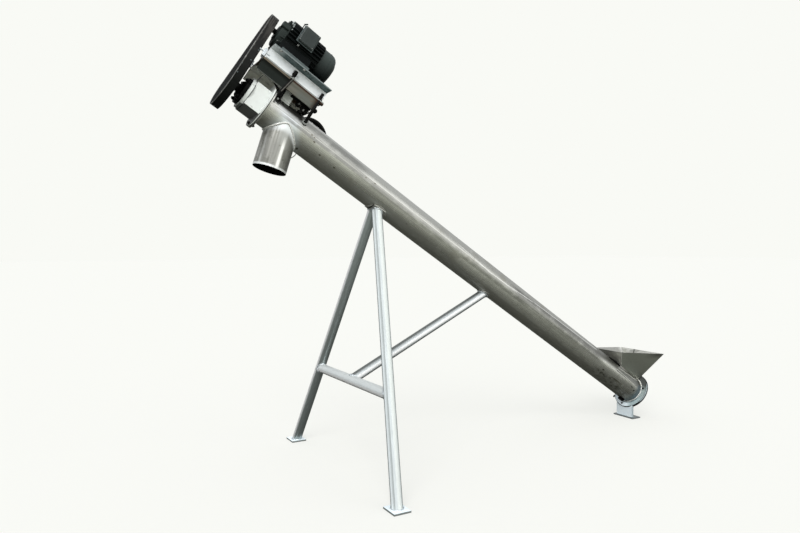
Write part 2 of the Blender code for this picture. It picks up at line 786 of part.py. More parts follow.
def make_bed_saddle():
    """A block under the platform that is bent over the tube."""
    inner = TUBE_RADIUS - 0.002
    outer = TUBE_RADIUS + GAP + SADDLE_SHEET
    bend = math.asin(SADDLE_BLOCK_Y / outer)
    top = PLATFORM_TOP_V - PLATFORM_SHEET - GAP
    outline = arc((0.0, 0.0), inner, -SADDLE_REACH, SADDLE_REACH, 16)
    outline += arc((0.0, 0.0), outer, SADDLE_REACH, bend, 3)
    outline += [(SADDLE_BLOCK_Y, top), (-SADDLE_BLOCK_Y, top)]
    outline += arc((0.0, 0.0), outer, -bend, -SADDLE_REACH, 3)
    saddle = add_object(
        "bed_saddle", extruded(outline, SADDLE_LOW_S, SADDLE_HIGH_S), HOUSING_PAINT, TUBE_LINE,
    )
    cut(saddle, TUBE_CUTTER)


def make_hand_wheel():
    middle = (WHEEL_S, WHEEL_V)
    mid = WHEEL_MID_Y
    rim = WHEEL_RADIUS - WHEEL_RIM
    bore = AXLE_RADIUS + GAP
    web = WHEEL_WEB / 2
    start = math.asin(web / WHEEL_RIM)
    round_rim = [
        (rim - WHEEL_RIM * math.cos(turn), mid + WHEEL_RIM * math.sin(turn))
        for turn in (start + (math.tau - 2 * start) * k / 12 for k in range(13))
    ]
    profile = [
        (bore, mid - WHEEL_HUB_HALF), (bore, mid + WHEEL_HUB_HALF), (WHEEL_HUB_RADIUS, mid + WHEEL_HUB_HALF),
        (WHEEL_HUB_RADIUS + 0.003, mid + web),
    ]
    profile += round_rim
    profile += [(WHEEL_HUB_RADIUS + 0.003, mid - web), (WHEEL_HUB_RADIUS, mid - WHEEL_HUB_HALF)]
    wheel = add_object("hand_wheel", turned(profile, "y", middle, 48), BLACK_PAINT, TUBE_LINE, smooth=True)
    for k in range(WHEEL_HOLES):
        angle = math.tau * (k + 0.5) / WHEEL_HOLES
        place = (WHEEL_S + WHEEL_HOLE_CIRCLE * math.sin(angle), WHEEL_V + WHEEL_HOLE_CIRCLE * math.cos(angle))
        hole = add_cutter(
            "cut_wheel_hole_%02d" % k,
            turned(rod_profile(WHEEL_HOLE_RADIUS, mid - 0.02, mid + 0.02), "y", place, 12, closed=False),
            TUBE_LINE,
        )
        cut(wheel, hole)
    hub_low = mid - WHEEL_HUB_HALF - GAP
    hub_high = mid + WHEEL_HUB_HALF + GAP
    axle = [
        (BRACKET_RADIUS, 0.03), (BRACKET_RADIUS, hub_low), (AXLE_RADIUS, hub_low), (AXLE_RADIUS, hub_high),
        (0.013, hub_high), (0.013, hub_high + 0.006),
    ]
    bracket = add_object(
        "wheel_bracket", turned(axle, "y", middle, 32, closed=False), ROD_STEEL, TUBE_LINE, smooth=True,
    )
    cut(bracket, TUBE_CUTTER)


def bent_pad(middle_s, half_s, reach, rings=3, steps=28):
    """An oval pad bent round the tube's underside, its inner skin still to be cut by the tube."""
    def build(shape):
        skins = []
        for radius in (TUBE_RADIUS - 0.002, PAD_RADIUS):
            loops = []
            for ring in range(1, rings + 1):
                loop = []
                for k in range(steps):
                    turn = math.tau * k / steps
                    share = ring / rings
                    angle = math.pi + reach * share * math.sin(turn)
                    s = middle_s + half_s * share * math.cos(turn)
                    loop.append(shape.verts.new((-s, radius * math.sin(angle), radius * math.cos(angle))))
                loops.append(loop)
            centre = shape.verts.new((-middle_s, 0.0, -radius))
            for k in range(steps):
                shape.faces.new((centre, loops[0][k], loops[0][(k + 1) % steps]))
            for first, second in zip(loops, loops[1:]):
                bridge(shape, first, second)
            skins.append(loops[-1])
        bridge(shape, skins[0], skins[1])
    return build


def under_tube(x):
    """Station s and height z where the tube's underside passes above a world x."""
    s = (TUBE_END.x - x - TUBE_RADIUS * math.sin(SLOPE)) / math.cos(SLOPE)
    return s, tube_point(s, 0.0, -TUBE_RADIUS).z


def make_frame():
    leg_pad_s, _ = under_tube(LEG_TOP_X)
    brace_pad_s, brace_top_z = under_tube(DIAGONAL_TOP_X)
    for name, pad in (
        ("leg_saddle", bent_pad(leg_pad_s, LEG_PAD_HALF_S, LEG_PAD_REACH, rings=4)),
        ("brace_pad", bent_pad(brace_pad_s, BRACE_PAD_HALF_S, BRACE_PAD_REACH)),
    ):
        cut(add_object(name, pad, GALVANISED, TUBE_LINE), TUBE_CUTTER)
    floor = add_cutter(
        "cut_leg_feet", block((-3.0, -1.0, -0.3), (-1.0, 1.0, FOOT_PLATE_THICK + GAP)),
    )
    leg_cutters = []
    for name, side in (("left", -1), ("right", 1)):
        foot = Vector((LEG_FOOT_X, side * LEG_FOOT_Y, 0.0))
        top = Vector((LEG_TOP_X, side * LEG_TOP_Y, LEG_TOP_Z))
        reach = (top - foot).normalized() * 0.05
        leg = add_object(
            "%s_leg" % name, along_line(foot - reach, top + reach, LEG_RADIUS, LEG_RADIUS - LEG_WALL),
            GALVANISED, smooth=True,
        )
        half = add_cutter(
            "cut_%s_leg_mitre" % name,
            block(
                (-2.1, min(-side * 0.3, side * GAP / 2), 0.9), (-1.5, max(-side * 0.3, side * GAP / 2), 1.6),
            ),
        )
        cut(leg, floor)
        cut(leg, PAD_CUTTER)
        cut(leg, half)
        leg_cutters.append(add_cutter(
            "cut_brace_by_%s_leg" % name, along_line(foot, top, LEG_RADIUS + GAP),
        ))
        plate_low = (LEG_FOOT_X - FOOT_PLATE_X / 2, side * LEG_FOOT_Y - FOOT_PLATE_Y / 2, 0.0)
        plate_high = (
            LEG_FOOT_X + FOOT_PLATE_X / 2, side * LEG_FOOT_Y + FOOT_PLATE_Y / 2, FOOT_PLATE_THICK,
        )
        add_object("%s_foot_plate" % name, block(plate_low, plate_high), GALVANISED)
    share = CROSS_BRACE_Z / LEG_TOP_Z
    brace_x = LEG_FOOT_X + (LEG_TOP_X - LEG_FOOT_X) * share
    brace_y = LEG_FOOT_Y + (LEG_TOP_Y - LEG_FOOT_Y) * share
    ends = (Vector((brace_x, -brace_y, CROSS_BRACE_Z)), Vector((brace_x, brace_y, CROSS_BRACE_Z)))
    cross = add_object(
        "cross_brace", along_line(*ends, BRACE_RADIUS, BRACE_RADIUS - BRACE_WALL), GALVANISED, smooth=True,
    )
    for cutter in leg_cutters:
        cut(cross, cutter)
    low = Vector((brace_x, 0.0, CROSS_BRACE_Z))
    high = Vector((DIAGONAL_TOP_X, 0.0, brace_top_z))
    reach = (high - low).normalized() * 0.03
    diagonal = add_object(
        "diagonal_brace", along_line(low, high + reach, BRACE_RADIUS, BRACE_RADIUS - BRACE_WALL),
        GALVANISED, smooth=True,
    )
    cross_cutter = add_cutter("cut_diagonal_by_cross", along_line(*ends, BRACE_RADIUS + GAP))
    cut(diagonal, cross_cutter)
    cut(diagonal, PAD_CUTTER)


make_tube()
make_flanges()
make_lower_end()
make_lower_foot()
make_hopper()
make_spout()
make_screw()
make_bearing_end()
make_guard()
make_motor()
make_terminal_box()
make_bed()
make_bed_saddle()
make_hand_wheel()
make_frame()
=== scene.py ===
# %% [markdown]
# # An inclined screw conveyor, dressed round its imported frame
#
# The frame is the CAD model: forty-four solids whose sizes and places are settled.
# This lesson gives each of them a finish, and adds what the solids leave out: welds, bolts, nuts,
# the motor's small castings, the fan's grille, folded edges, wear, dust and rust. In many places it
# also paints light and shade into the colours, and a few dark pieces paint shade.
# All lengths are in metres.

# %% Load the frame
import math

import bpy
import numpy as np
from mathutils import Matrix, Vector


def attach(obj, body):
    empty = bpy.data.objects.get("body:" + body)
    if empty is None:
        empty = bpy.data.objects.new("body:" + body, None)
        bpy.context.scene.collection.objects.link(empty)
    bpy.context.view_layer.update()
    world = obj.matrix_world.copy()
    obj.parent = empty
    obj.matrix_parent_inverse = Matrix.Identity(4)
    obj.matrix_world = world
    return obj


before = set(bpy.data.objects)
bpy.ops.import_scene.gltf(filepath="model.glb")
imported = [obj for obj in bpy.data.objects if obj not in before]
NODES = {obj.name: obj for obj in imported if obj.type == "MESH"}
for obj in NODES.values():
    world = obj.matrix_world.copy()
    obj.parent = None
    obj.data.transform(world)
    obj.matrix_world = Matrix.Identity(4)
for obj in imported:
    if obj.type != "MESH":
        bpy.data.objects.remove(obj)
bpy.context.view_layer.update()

# %% [markdown]
# ## The tube's own directions
#
# Nearly everything sits on a tube that rises at 32.7 degrees, so its places are easier to read as
# (s, y, v): s metres up the tube, y to the right, v away from the axis on the upper side.
# One small function turns whole arrays of such points into the world's x, y, z.

# %% The tube's frame
SLOPE = math.radians(32.7)
TUBE_END = np.array((0.048, 0.0, 0.154))
UPHILL = np.array((-math.cos(SLOPE), 0.0, math.sin(SLOPE)))
ABOVE = np.array((math.sin(SLOPE), 0.0, math.cos(SLOPE)))
TUBE_AXES = np.stack((UPHILL, (0.0, 1.0, 0.0), ABOVE))
TUBE_RADIUS = 0.0795
MOTOR_V = 0.323


def on_tube(points):
    """World places of (s, y, v) points: the tube's end plus s, y and v times the three directions."""
    return TUBE_END + np.asarray(points, float) @ TUBE_AXES


print("the tube's top end is", on_tube((2.893, 0.0, 0.0)).round(3))

# %% [markdown]
# ## Camera
#
# The camera stands where the photograph was taken: low, to the left of the machine, looking level.
# A fit to the tube, the legs and the floor gave its place, its three angles and its lens.

# %% Camera
CAMERA_PLACE = (-3.325, -2.881, 1.076)
YAW, PITCH, ROLL = (math.radians(a) for a in (29.84, -1.6, -0.11))
LENS_IN_PIXELS = 652.9
PHOTO_WIDTH = 800

camera_data = bpy.data.cameras.new("camera")
camera_data.sensor_width = 36.0
camera_data.lens = LENS_IN_PIXELS / PHOTO_WIDTH * camera_data.sensor_width
camera = bpy.data.objects.new("camera", camera_data)
bpy.context.scene.collection.objects.link(camera)
look = Vector((math.sin(YAW) * math.cos(PITCH), math.cos(YAW) * math.cos(PITCH), math.sin(PITCH)))
camera.rotation_mode = "QUATERNION"
camera.rotation_quaternion = look.to_track_quat("-Z", "Y") @ Matrix.Rotation(ROLL, 3, "Z").to_quaternion()
camera.location = CAMERA_PLACE
bpy.context.scene.camera = camera
print("lens:", round(camera_data.lens, 2), "mm")

# %% [markdown]
# ## Node helpers
#
# A finish is a small tree of shader nodes. A few helpers keep the trees short to write: one adds a
# node with its settings and inputs, others do a sum or start and end a node group.
# A group that several finishes share is built once and placed in each with its own values.

# %% Node helpers


def add_node(tree, kind, inputs=None, **settings):
    """Adds a node; inputs maps a socket's name or number to a value or to another node's output."""
    item = tree.nodes.new("ShaderNode" + kind)
    for key, value in settings.items():
        setattr(item, key, value)
    for key, value in (inputs or {}).items():
        if isinstance(value, bpy.types.NodeSocket):
            tree.links.new(value, item.inputs[key])
        else:
            item.inputs[key].default_value = value
    return item


def math_node(tree, operation, first, second=0.0):
    """One sum on two values."""
    return add_node(tree, "Math", {0: first, 1: second}, operation=operation).outputs[0]


def product(tree, first, *others):
    """All the values multiplied."""
    for value in others:
        first = math_node(tree, "MULTIPLY", first, value)
    return first


def vector_node(tree, operation, first, second=(0.0, 0.0, 0.0), output="Vector"):
    """One sum on two vectors; the output is a Vector or a Value."""
    return add_node(tree, "VectorMath", {0: first, 1: second}, operation=operation).outputs[output]


def ranged(tree, value, low, high, to_low=0.0, to_high=1.0, smooth=False):
    """Maps low..high to to_low..to_high, held at the ends."""
    kind = "SMOOTHSTEP" if smooth else "LINEAR"
    inputs = {"Value": value, "From Min": low, "From Max": high, "To Min": to_low, "To Max": to_high}
    return add_node(tree, "MapRange", inputs, interpolation_type=kind).outputs["Result"]


def mixed(tree, share, first, second):
    """A mix of two colours by a share from 0 to 1."""
    return add_node(tree, "Mix", {0: share, 6: first, 7: second}, data_type="RGBA").outputs[2]


def noise(tree, place, scale, detail, roughness=0.5):
    """Cloudy noise, about 0.5 on average."""
    inputs = {"Vector": place, "Scale": scale, "Detail": detail, "Roughness": roughness}
    return add_node(tree, "TexNoise", inputs).outputs["Fac"]


def start_group(name, **numbers):
    """A new shader group with a Vector input and a number input for each start value; and its inputs."""
    group = bpy.data.node_groups.new(name, "ShaderNodeTree")
    group.interface.new_socket("Vector", in_out="INPUT", socket_type="NodeSocketVector")
    for label, start in numbers.items():
        socket = group.interface.new_socket(label, in_out="INPUT", socket_type="NodeSocketFloat")
        socket.default_value = start
    return group, group.nodes.new("NodeGroupInput").outputs


def end_group(group, **results):
    """Gives the group an output for each result."""
    for label, result in results.items():
        kind = "NodeSocketVector" if result.type == "VECTOR" else "NodeSocketFloat"
        group.interface.new_socket(label, in_out="OUTPUT", socket_type=kind)
    out = group.nodes.new("NodeGroupOutput")
    for label, result in results.items():
        group.links.new(result, out.inputs[label])
    return group


# %% [markdown]
# ## Surface effects shared by the finishes
#
# - grain: fine streaks that run one way, as rolling and brushing leave them. It is noise that is
#   stretched along the first axis of the vector that it is given.
# - stains: soft patches from cloudy noise, cut off at a level.
# - spangle: the flat crystal patches of hot-dip zinc, from Voronoi cells, each with its own shade.
# - edges: where a rounded normal departs from the flat one there is an edge, so paint is worn there.
# - dust: settles where a surface faces up, in patches.

# %% Shared groups


def make_grain():
    """Noise on the vector times (Along, Across, Across): streaks along its first axis."""
    group, given = start_group("grain", Along=2.0, Across=150.0)
    scale = add_node(group, "CombineXYZ", {"X": given["Along"], "Y": given["Across"], "Z": given["Across"]})
    place = vector_node(group, "MULTIPLY", given["Vector"], scale.outputs[0])
    return end_group(group, Value=ranged(group, noise(group, place, 1.0, 3.0, 0.6), 0.28, 0.72))


def make_stains():
    """Cloudy noise of patches Size metres wide; Level 0.5 covers half, and more covers less."""
    group, given = start_group("stains", Size=0.1, Level=0.55, Soft=0.08)
    cloudy = noise(group, given["Vector"], math_node(group, "DIVIDE", 1.0, given["Size"]), 5.0, 0.62)
    high = math_node(group, "ADD", given["Level"], given["Soft"])
    return end_group(group, Mask=ranged(group, cloudy, given["Level"], high, smooth=True))


def make_spangle():
    """Each Voronoi cell gets a random shade; two sizes are added, so that the patches vary."""
    group, given = start_group("spangle", Size=0.02)
    scale = math_node(group, "DIVIDE", 1.0, given["Size"])
    warp = add_node(group, "TexNoise", {
        "Vector": given["Vector"], "Scale": product(group, scale, 0.8), "Detail": 2.0})
    shift = vector_node(group, "MULTIPLY", warp.outputs["Color"], (0.012, 0.012, 0.012))
    place = vector_node(group, "ADD", given["Vector"], shift)
    shades = []
    for finer, share in ((1.0, 0.65), (2.7, 0.35)):
        cells = add_node(group, "TexVoronoi", {"Vector": place, "Scale": product(group, scale, finer)})
        shade = add_node(group, "SeparateColor", {0: cells.outputs["Color"]}).outputs[0]
        shades.append(product(group, shade, share))
    return end_group(group, Value=math_node(group, "ADD", *shades))


def make_edges():
    """The bevelled normal, and a mask that is 1 where it leans away from the true normal."""
    group, given = start_group("edges", Radius=0.002, Worn=0.5)
    bevel = add_node(group, "Bevel", {"Radius": given["Radius"]}, samples=6).outputs[0]
    flat = add_node(group, "NewGeometry").outputs["Normal"]
    same = vector_node(group, "DOT_PRODUCT", bevel, flat, "Value")
    lean = ranged(group, math_node(group, "SUBTRACT", 1.0, same), 0.004, 0.1)
    level = math_node(group, "SUBTRACT", 1.0, given["Worn"])
    patches = noise(group, given["Vector"], 70.0, 4.0, 0.7)
    broken = ranged(group, patches, level, math_node(group, "ADD", level, 0.12))
    return end_group(group, Mask=product(group, lean, broken), Normal=bevel)


def make_dust():
    """Upward facing times patchy noise times Amount."""
    group, given = start_group("dust", Amount=0.5)
    normal = add_node(group, "NewGeometry").outputs["Normal"]
    up = add_node(group, "SeparateXYZ", {0: normal}).outputs["Z"]
    patchy = ranged(group, noise(group, given["Vector"], 28.0, 6.0, 0.68), 0.35, 0.65)
    return end_group(group, Mask=product(
        group, ranged(group, up, 0.1, 0.95, smooth=True), patchy, given["Amount"]))


GRAIN, STAINS, SPANGLE, EDGES, DUST = make_grain(), make_stains(), make_spangle(), make_edges(), make_dust()
print("shared groups:", [g.name for g in bpy.data.node_groups])

# %% [markdown]
# ## Finishes
#
# Every finish on this machine is the same stack: a base of two near shades mixed by grain or
# spangle, stains over it, bright or rusty wear on the edges, and dust on top. So one function
# builds the stack, and each finish is a call with its own colours, sizes and amounts. The pattern
# reads Object coordinates, turned so that the grain runs along the piece.

# %% The stack that every finish uses
ALONG_TUBE = (0.0, -SLOPE, 0.0)
UPRIGHT = (0.0, 0.0, 0.0)
GLOSS_SPREAD = 0.05  # how far the roughness strays either way over the grain


def colour(*rgb):
    return (*rgb, 1.0)


def layer(finish, mask, rgb, rougher=0.0):
    """Lays a colour over a finish where the mask is 1, and changes its roughness by rougher there."""
    tree = finish.node_tree
    shader = tree.nodes["Principled BSDF"]
    base, rough = shader.inputs["Base Color"], shader.inputs["Roughness"]
    tree.links.new(mixed(tree, mask, base.links[0].from_socket, colour(*rgb)), base)
    if rougher:
        more = product(tree, mask, rougher)
        tree.links.new(math_node(tree, "ADD", rough.links[0].from_socket, more), rough)


def make_finish(name, light, dark, metallic, rough, turn=ALONG_TUBE, grain=(2.0, 150.0), grain_bump=0.02,
                spangle=None, stain=None, wear=None, dust=None, specular=0.5, edge=0.0015, dents=None,
                blotch=None):
    """light and dark are mixed by the grain, or by cells of size spangle.

    stain and blotch are (colour, size, level, soft, strength), wear is (colour, worn), dust (colour, amount)
    and dents (size, depth) of a soft unevenness.
    """
    finish = bpy.data.materials.new(name)
    finish.use_nodes = True
    tree = finish.node_tree
    shader = tree.nodes["Principled BSDF"]
    coords = add_node(tree, "TexCoord").outputs["Object"]
    place = add_node(tree, "Mapping", {"Vector": coords, "Rotation": turn}).outputs[0]

    def shared(group, **values):
        return add_node(tree, "Group", {"Vector": place, **values}, node_tree=group).outputs

    streaks = shared(GRAIN, Along=grain[0], Across=grain[1])[0]
    shade = shared(SPANGLE, Size=spangle)[0] if spangle else streaks
    tree.links.new(mixed(tree, shade, colour(*dark), colour(*light)), shader.inputs["Base Color"])
    roughness = ranged(tree, shade, 0.0, 1.0, rough + GLOSS_SPREAD, rough - GLOSS_SPREAD)
    tree.links.new(roughness, shader.inputs["Roughness"])
    for rgb, size, level, soft, strength in filter(None, (blotch, stain)):
        patches = shared(STAINS, Size=size, Level=level, Soft=soft)[0]
        layer(finish, product(tree, patches, strength), rgb, 0.12)
    edges = shared(EDGES, Radius=edge, Worn=wear[1] if wear else 0.5)
    if wear:
        layer(finish, edges["Mask"], wear[0])
    if dust:
        layer(finish, shared(DUST, Amount=dust[1])[0], dust[0], 0.3)
    bumps = [(noise(tree, coords, 1.0 / dents[0], 3.0, 0.55), dents[1])] if dents else []
    normal = edges["Normal"]
    for height, depth in bumps + [(streaks, grain_bump * 0.01)]:
        normal = add_node(tree, "Bump", {
            "Strength": 1.0, "Distance": depth, "Height": height, "Normal": normal}).outputs[0]
    tree.links.new(normal, shader.inputs["Normal"])
    shader.inputs["Metallic"].default_value = metallic
    shader.inputs["Specular IOR Level"].default_value = specular
    return finish


# %% [markdown]
# ### The finishes themselves
#
# Stainless sheet is olive grey with faint streaks. The galvanised pipes are bright and bluish,
# with spangle. The drive is black and charcoal paint, worn and dusty, and the bearing housing is
# a light grey paint that has picked up dirt. The motor's bed is dark steel with rusty edges.

# %% All finishes
SPOUT_TILT = math.radians(17.8)
DOWN_SPOUT = (0.0, math.pi / 2 - SPOUT_TILT, 0.0)
TUBE_STEEL = make_finish(
    "stainless_tube", (0.56, 0.56, 0.52), (0.47, 0.47, 0.43), 1.0, 0.27, grain=(1.2, 120.0), grain_bump=0.008,
    blotch=((0.66, 0.66, 0.62), 0.06, 0.56, 0.12, 0.5), stain=((0.36, 0.35, 0.29), 0.1, 0.54, 0.14, 0.5),
    dents=(0.085, 0.0016))
SPOUT_STEEL = make_finish(
    "stainless_spout", (0.64, 0.64, 0.6), (0.34, 0.34, 0.31), 1.0, 0.46, turn=DOWN_SPOUT, grain=(3.0, 80.0),
    grain_bump=0.012, stain=((0.26, 0.26, 0.215), 0.06, 0.5, 0.12, 0.5), dents=(0.07, 0.001))
HOPPER_STEEL = make_finish(
    "hopper_sheet", (0.42, 0.42, 0.39), (0.33, 0.33, 0.305), 1.0, 0.46, turn=UPRIGHT, grain=(3.0, 70.0),
    stain=((0.2, 0.195, 0.165), 0.11, 0.54, 0.15, 0.45), wear=((0.75, 0.75, 0.72), 0.7), edge=0.0008,
    dents=(0.09, 0.001))
ZINC = make_finish(
    "hot_dip_zinc", (0.72, 0.76, 0.78), (0.56, 0.61, 0.64), 0.85, 0.38, turn=UPRIGHT, spangle=0.016,
    grain=(10.0, 10.0), grain_bump=0.03, stain=((0.4, 0.42, 0.42), 0.07, 0.58, 0.1, 0.5))
MATT_ZINC = make_finish(
    "matt_pale_zinc", (0.9, 0.98, 1.0), (0.83, 0.94, 1.0), 0.0, 0.6, turn=UPRIGHT, spangle=0.016,
    grain=(10.0, 10.0), grain_bump=0.02)
# dark zinc for the foot's base plate and the end cover; a mark below paints the cover near black as painted
# shade
DARK_ZINC = make_finish(
    "dark_zinc", (0.26, 0.28, 0.28), (0.18, 0.2, 0.2), 0.5, 0.45, turn=UPRIGHT, spangle=0.016,
    grain=(10.0, 10.0))
SADDLE_STEEL = make_finish(
    "saddle_grey", (0.46, 0.46, 0.43), (0.34, 0.34, 0.31), 0.9, 0.45, grain=(8.0, 60.0),
    wear=((0.8, 0.8, 0.76), 0.85), edge=0.002)
LEG_ZINC = make_finish(
    "zinc_left_leg", (0.6, 0.645, 0.645), (0.52, 0.56, 0.565), 0.35, 0.6, turn=UPRIGHT, grain=(60.0, 1.5),
    grain_bump=0.01, stain=((0.52, 0.56, 0.55), 0.08, 0.56, 0.12, 0.4))
FAR_LEG_ZINC = make_finish(
    "zinc_right_leg", (0.6, 0.65, 0.64), (0.5, 0.55, 0.54), 0.85, 0.38, turn=UPRIGHT, spangle=0.016)
CROSS_ZINC, DIAGONAL_ZINC = (make_finish(
    "zinc_" + name, (0.88, 0.93, 0.94), (0.74, 0.79, 0.8), 0.25, 0.36, turn=UPRIGHT, grain=(4.0, 60.0),
    spangle=0.016) for name in ("cross_brace", "diagonal_brace"))
RAIL_ZINC = make_finish(
    "bright_zinc_rail", (0.97, 1.0, 1.0), (0.92, 0.96, 0.99), 0.05, 0.35, grain=(3.0, 40.0))
BED_STEEL = make_finish(
    "rusty_bed_steel", (0.16, 0.155, 0.13), (0.1, 0.1, 0.082), 0.6, 0.5, grain=(3.0, 60.0),
    stain=((0.17, 0.09, 0.045), 0.05, 0.5, 0.16, 0.7), wear=((0.075, 0.048, 0.032), 0.8), edge=0.003,
    specular=0.2)
GUARD_PAINT = make_finish(
    "guard_black", (0.011, 0.011, 0.01), (0.006, 0.006, 0.006), 0.0, 0.42, grain=(5.0, 40.0),
    stain=((0.03, 0.028, 0.024), 0.05, 0.55, 0.14, 0.5), wear=((0.2, 0.18, 0.16), 0.5),
    dust=((0.075, 0.068, 0.058), 0.35), edge=0.003, specular=0.16)
MOTOR_PAINT = make_finish(
    "motor_charcoal", (0.0045, 0.0065, 0.0065), (0.0025, 0.0035, 0.0035), 0.0, 0.42, grain=(30.0, 30.0),
    grain_bump=0.05, stain=((0.012, 0.014, 0.013), 0.04, 0.58, 0.12, 0.4), wear=((0.1, 0.11, 0.11), 0.4),
    dust=((0.05, 0.056, 0.054), 0.3), specular=0.07)
BOX_PAINT = make_finish(
    "terminal_box_grey", (0.033, 0.042, 0.04), (0.025, 0.032, 0.03), 0.0, 0.38, grain=(25.0, 25.0),
    grain_bump=0.03, wear=((0.26, 0.28, 0.28), 0.55), dust=((0.15, 0.16, 0.155), 0.25), specular=0.25)
HOUSING_PAINT = make_finish(
    "housing_light_grey", (0.84, 0.87, 0.84), (0.74, 0.77, 0.74), 0.0, 0.45, grain=(14.0, 14.0),
    grain_bump=0.05, stain=((0.3, 0.29, 0.25), 0.035, 0.6, 0.1, 0.6), wear=((0.22, 0.2, 0.17), 0.45))
BLACK_IRON = make_finish(
    "black_iron", (0.006, 0.006, 0.0055), (0.003, 0.003, 0.003), 0.0, 0.48, grain=(30.0, 30.0),
    grain_bump=0.06, stain=((0.03, 0.022, 0.016), 0.02, 0.64, 0.1, 0.4), wear=((0.075, 0.07, 0.065), 0.35),
    specular=0.08)
print("finishes:", len(bpy.data.materials))

# %% Which node gets which finish
FINISH_OF = {
    TUBE_STEEL: "conveyor_tube upper_flange screw_flight",
    SPOUT_STEEL: "outlet_spout",
    HOPPER_STEEL: "hopper_upper_wall hopper_lower_wall hopper_left_wall hopper_right_wall",
    SADDLE_STEEL: "leg_saddle brace_pad",
    MATT_ZINC: "lower_flange lower_foot_post left_foot_plate right_foot_plate",
    DARK_ZINC: "lower_end_cover lower_foot_base",
    LEG_ZINC: "left_leg",
    FAR_LEG_ZINC: "right_leg",
    CROSS_ZINC: "cross_brace",
    DIAGONAL_ZINC: "diagonal_brace",
    RAIL_ZINC: "left_rail right_rail",
    BED_STEEL: "platform",
    GUARD_PAINT: "guard_back_plate guard_cover",
    MOTOR_PAINT: "motor_body motor_front_shield motor_fan_cover left_motor_foot right_motor_foot",
    BOX_PAINT: "terminal_box",
    HOUSING_PAINT: "bearing_housing housing_cap bed_saddle",
    BLACK_IRON: "outer_bearing lower_bearing hand_wheel wheel_bracket motor_shaft screw_shaft "
                "left_upper_stud right_upper_stud left_lower_stud right_lower_stud",
}
for finish, names in FINISH_OF.items():
    for name in names.split():
        NODES[name].data.materials.clear()
        NODES[name].data.materials.append(finish)
print("nodes without a finish:", sorted(set(NODES) - set(" ".join(FINISH_OF.values()).split())))

# %% [markdown]
# ### Marks that have a place
#
# Some marks sit at one place: the brushed zone round the spout's weld, the painted shade on the tube under
# the motor's bed, the tube's long seam. Each is a layer over a finish, with a mask worked out from the
# point's (s, y, v), from its distance to a pipe's axis or from the way that the surface faces.
# A term is such a value, written as a function of the node tree, so that it can be named once and
# used in any finish. A mark's mask is the product of its terms.

# %% Terms and marks


def from_place(tree, start):
    """The vector from a start to the shaded point."""
    return vector_node(tree, "SUBTRACT", add_node(tree, "TexCoord").outputs["Object"], start)


def along(start, axis):
    """The point's distance from a start, measured along an axis."""
    return lambda tree: vector_node(tree, "DOT_PRODUCT", from_place(tree, start), axis, "Value")


def off_axis(start, axis):
    """The point's distance to a line: the length of the cross product with its direction."""
    return lambda tree: vector_node(
        tree, "LENGTH", vector_node(tree, "CROSS_PRODUCT", from_place(tree, start), axis), output="Value")


def facing(*axis):
    """How far the true normal leans towards an axis, from -1 to 1."""
    return lambda tree: vector_node(
        tree, "DOT_PRODUCT", add_node(tree, "NewGeometry").outputs["Normal"], axis, "Value")


def ramp(value, low, high, to_low=0.0, to_high=1.0):
    """A straight rise from to_low at low to to_high at high, held at the ends."""
    return lambda tree: ranged(tree, value(tree), low, high, to_low, to_high)


def ease(value, low, high):
    """A soft rise from 0 at low to 1 at high."""
    return lambda tree: ranged(tree, value(tree), low, high, smooth=True)


def band(value, low, high, soft):
    """1 between low and high, fading over soft at both ends."""
    return lambda tree: product(tree, ranged(tree, value(tree), low - soft, low, smooth=True),
                                ranged(tree, value(tree), high, high + soft, 1.0, 0.0, smooth=True))


def clouds(size, low=0.35, high=0.65, stretch=(1.0, 1.0, 1.0)):
    """Cloudy noise from 0 to 1 with patches of a size. A stretch under 1 draws them out along s, y or v."""
    def value(tree):
        coords = add_node(tree, "TexCoord").outputs["Object"]
        place = add_node(tree, "Mapping", {"Vector": coords, "Rotation": ALONG_TUBE}).outputs[0]
        place = vector_node(tree, "MULTIPLY", place, stretch)
        return ranged(tree, noise(tree, place, 1.0 / size, 4.0), low, high)
    return value


def spot(place, half_s, half_v):
    """1 within a soft oval at (s, v): a sum of two squares, each in half widths."""
    middle = on_tube((place[0], 0.0, place[1]))

    def value(tree):
        sides = [along(middle, axis)(tree) for axis in (UPHILL / half_s, ABOVE / half_v)]
        squares = math_node(tree, "ADD", *(product(tree, side, side) for side in sides))
        return ranged(tree, squares, 1.0, 0.3, smooth=True)
    return value


def marks(finish, *rows):
    """Lays marks over a finish. Each row is a colour, its share, how much rougher it is, and its terms."""
    for rgb, share, rougher, *terms in rows:
        values = [term(finish.node_tree) for term in terms]
        layer(finish, product(finish.node_tree, *values, share), rgb, rougher)


S, Y, V = (along(TUBE_END, axis) for axis in TUBE_AXES)
X, Z = along((0.0, 0.0, 0.0), (1.0, 0.0, 0.0)), along((0.0, 0.0, 0.0), (0.0, 0.0, 1.0))
OFF_TUBE = off_axis(TUBE_END, UPHILL)
LEFT_SIDE = ramp(Y, 0.0, -0.001)
TO_LEFT, TO_UPPER_END, TO_SKY = facing(0.0, -1.0, 0.0), facing(-1.0, 0.0, 0.0), facing(0.0, 0.0, 1.0)

# %% [markdown]
# ### Marks on the tube
#
# The tube is brushed round the spout's weld and has painted shade on its top under the bed. A seam
# runs along its upper left, with a dark line and a bright one. Long soft bands of painted shade and
# painted light are darker or lighter, as in the photograph, and move its highlight; thin painted
# highlights and small dark specks lie over them. Near the low end painted light lifts the middle and
# painted shade dims the highlight, and painted shade darkens the underside all along.

# %% Tube
SPOUT_AXIS = np.array((-math.sin(SPOUT_TILT), 0.0, -math.cos(SPOUT_TILT)))
SPOUT_START = on_tube((2.775, 0.0, 0.0))
SPOUT_RADIUS, SPOUT_LENGTH = 0.078, 0.2304
OFF_SPOUT = off_axis(SPOUT_START, SPOUT_AXIS)


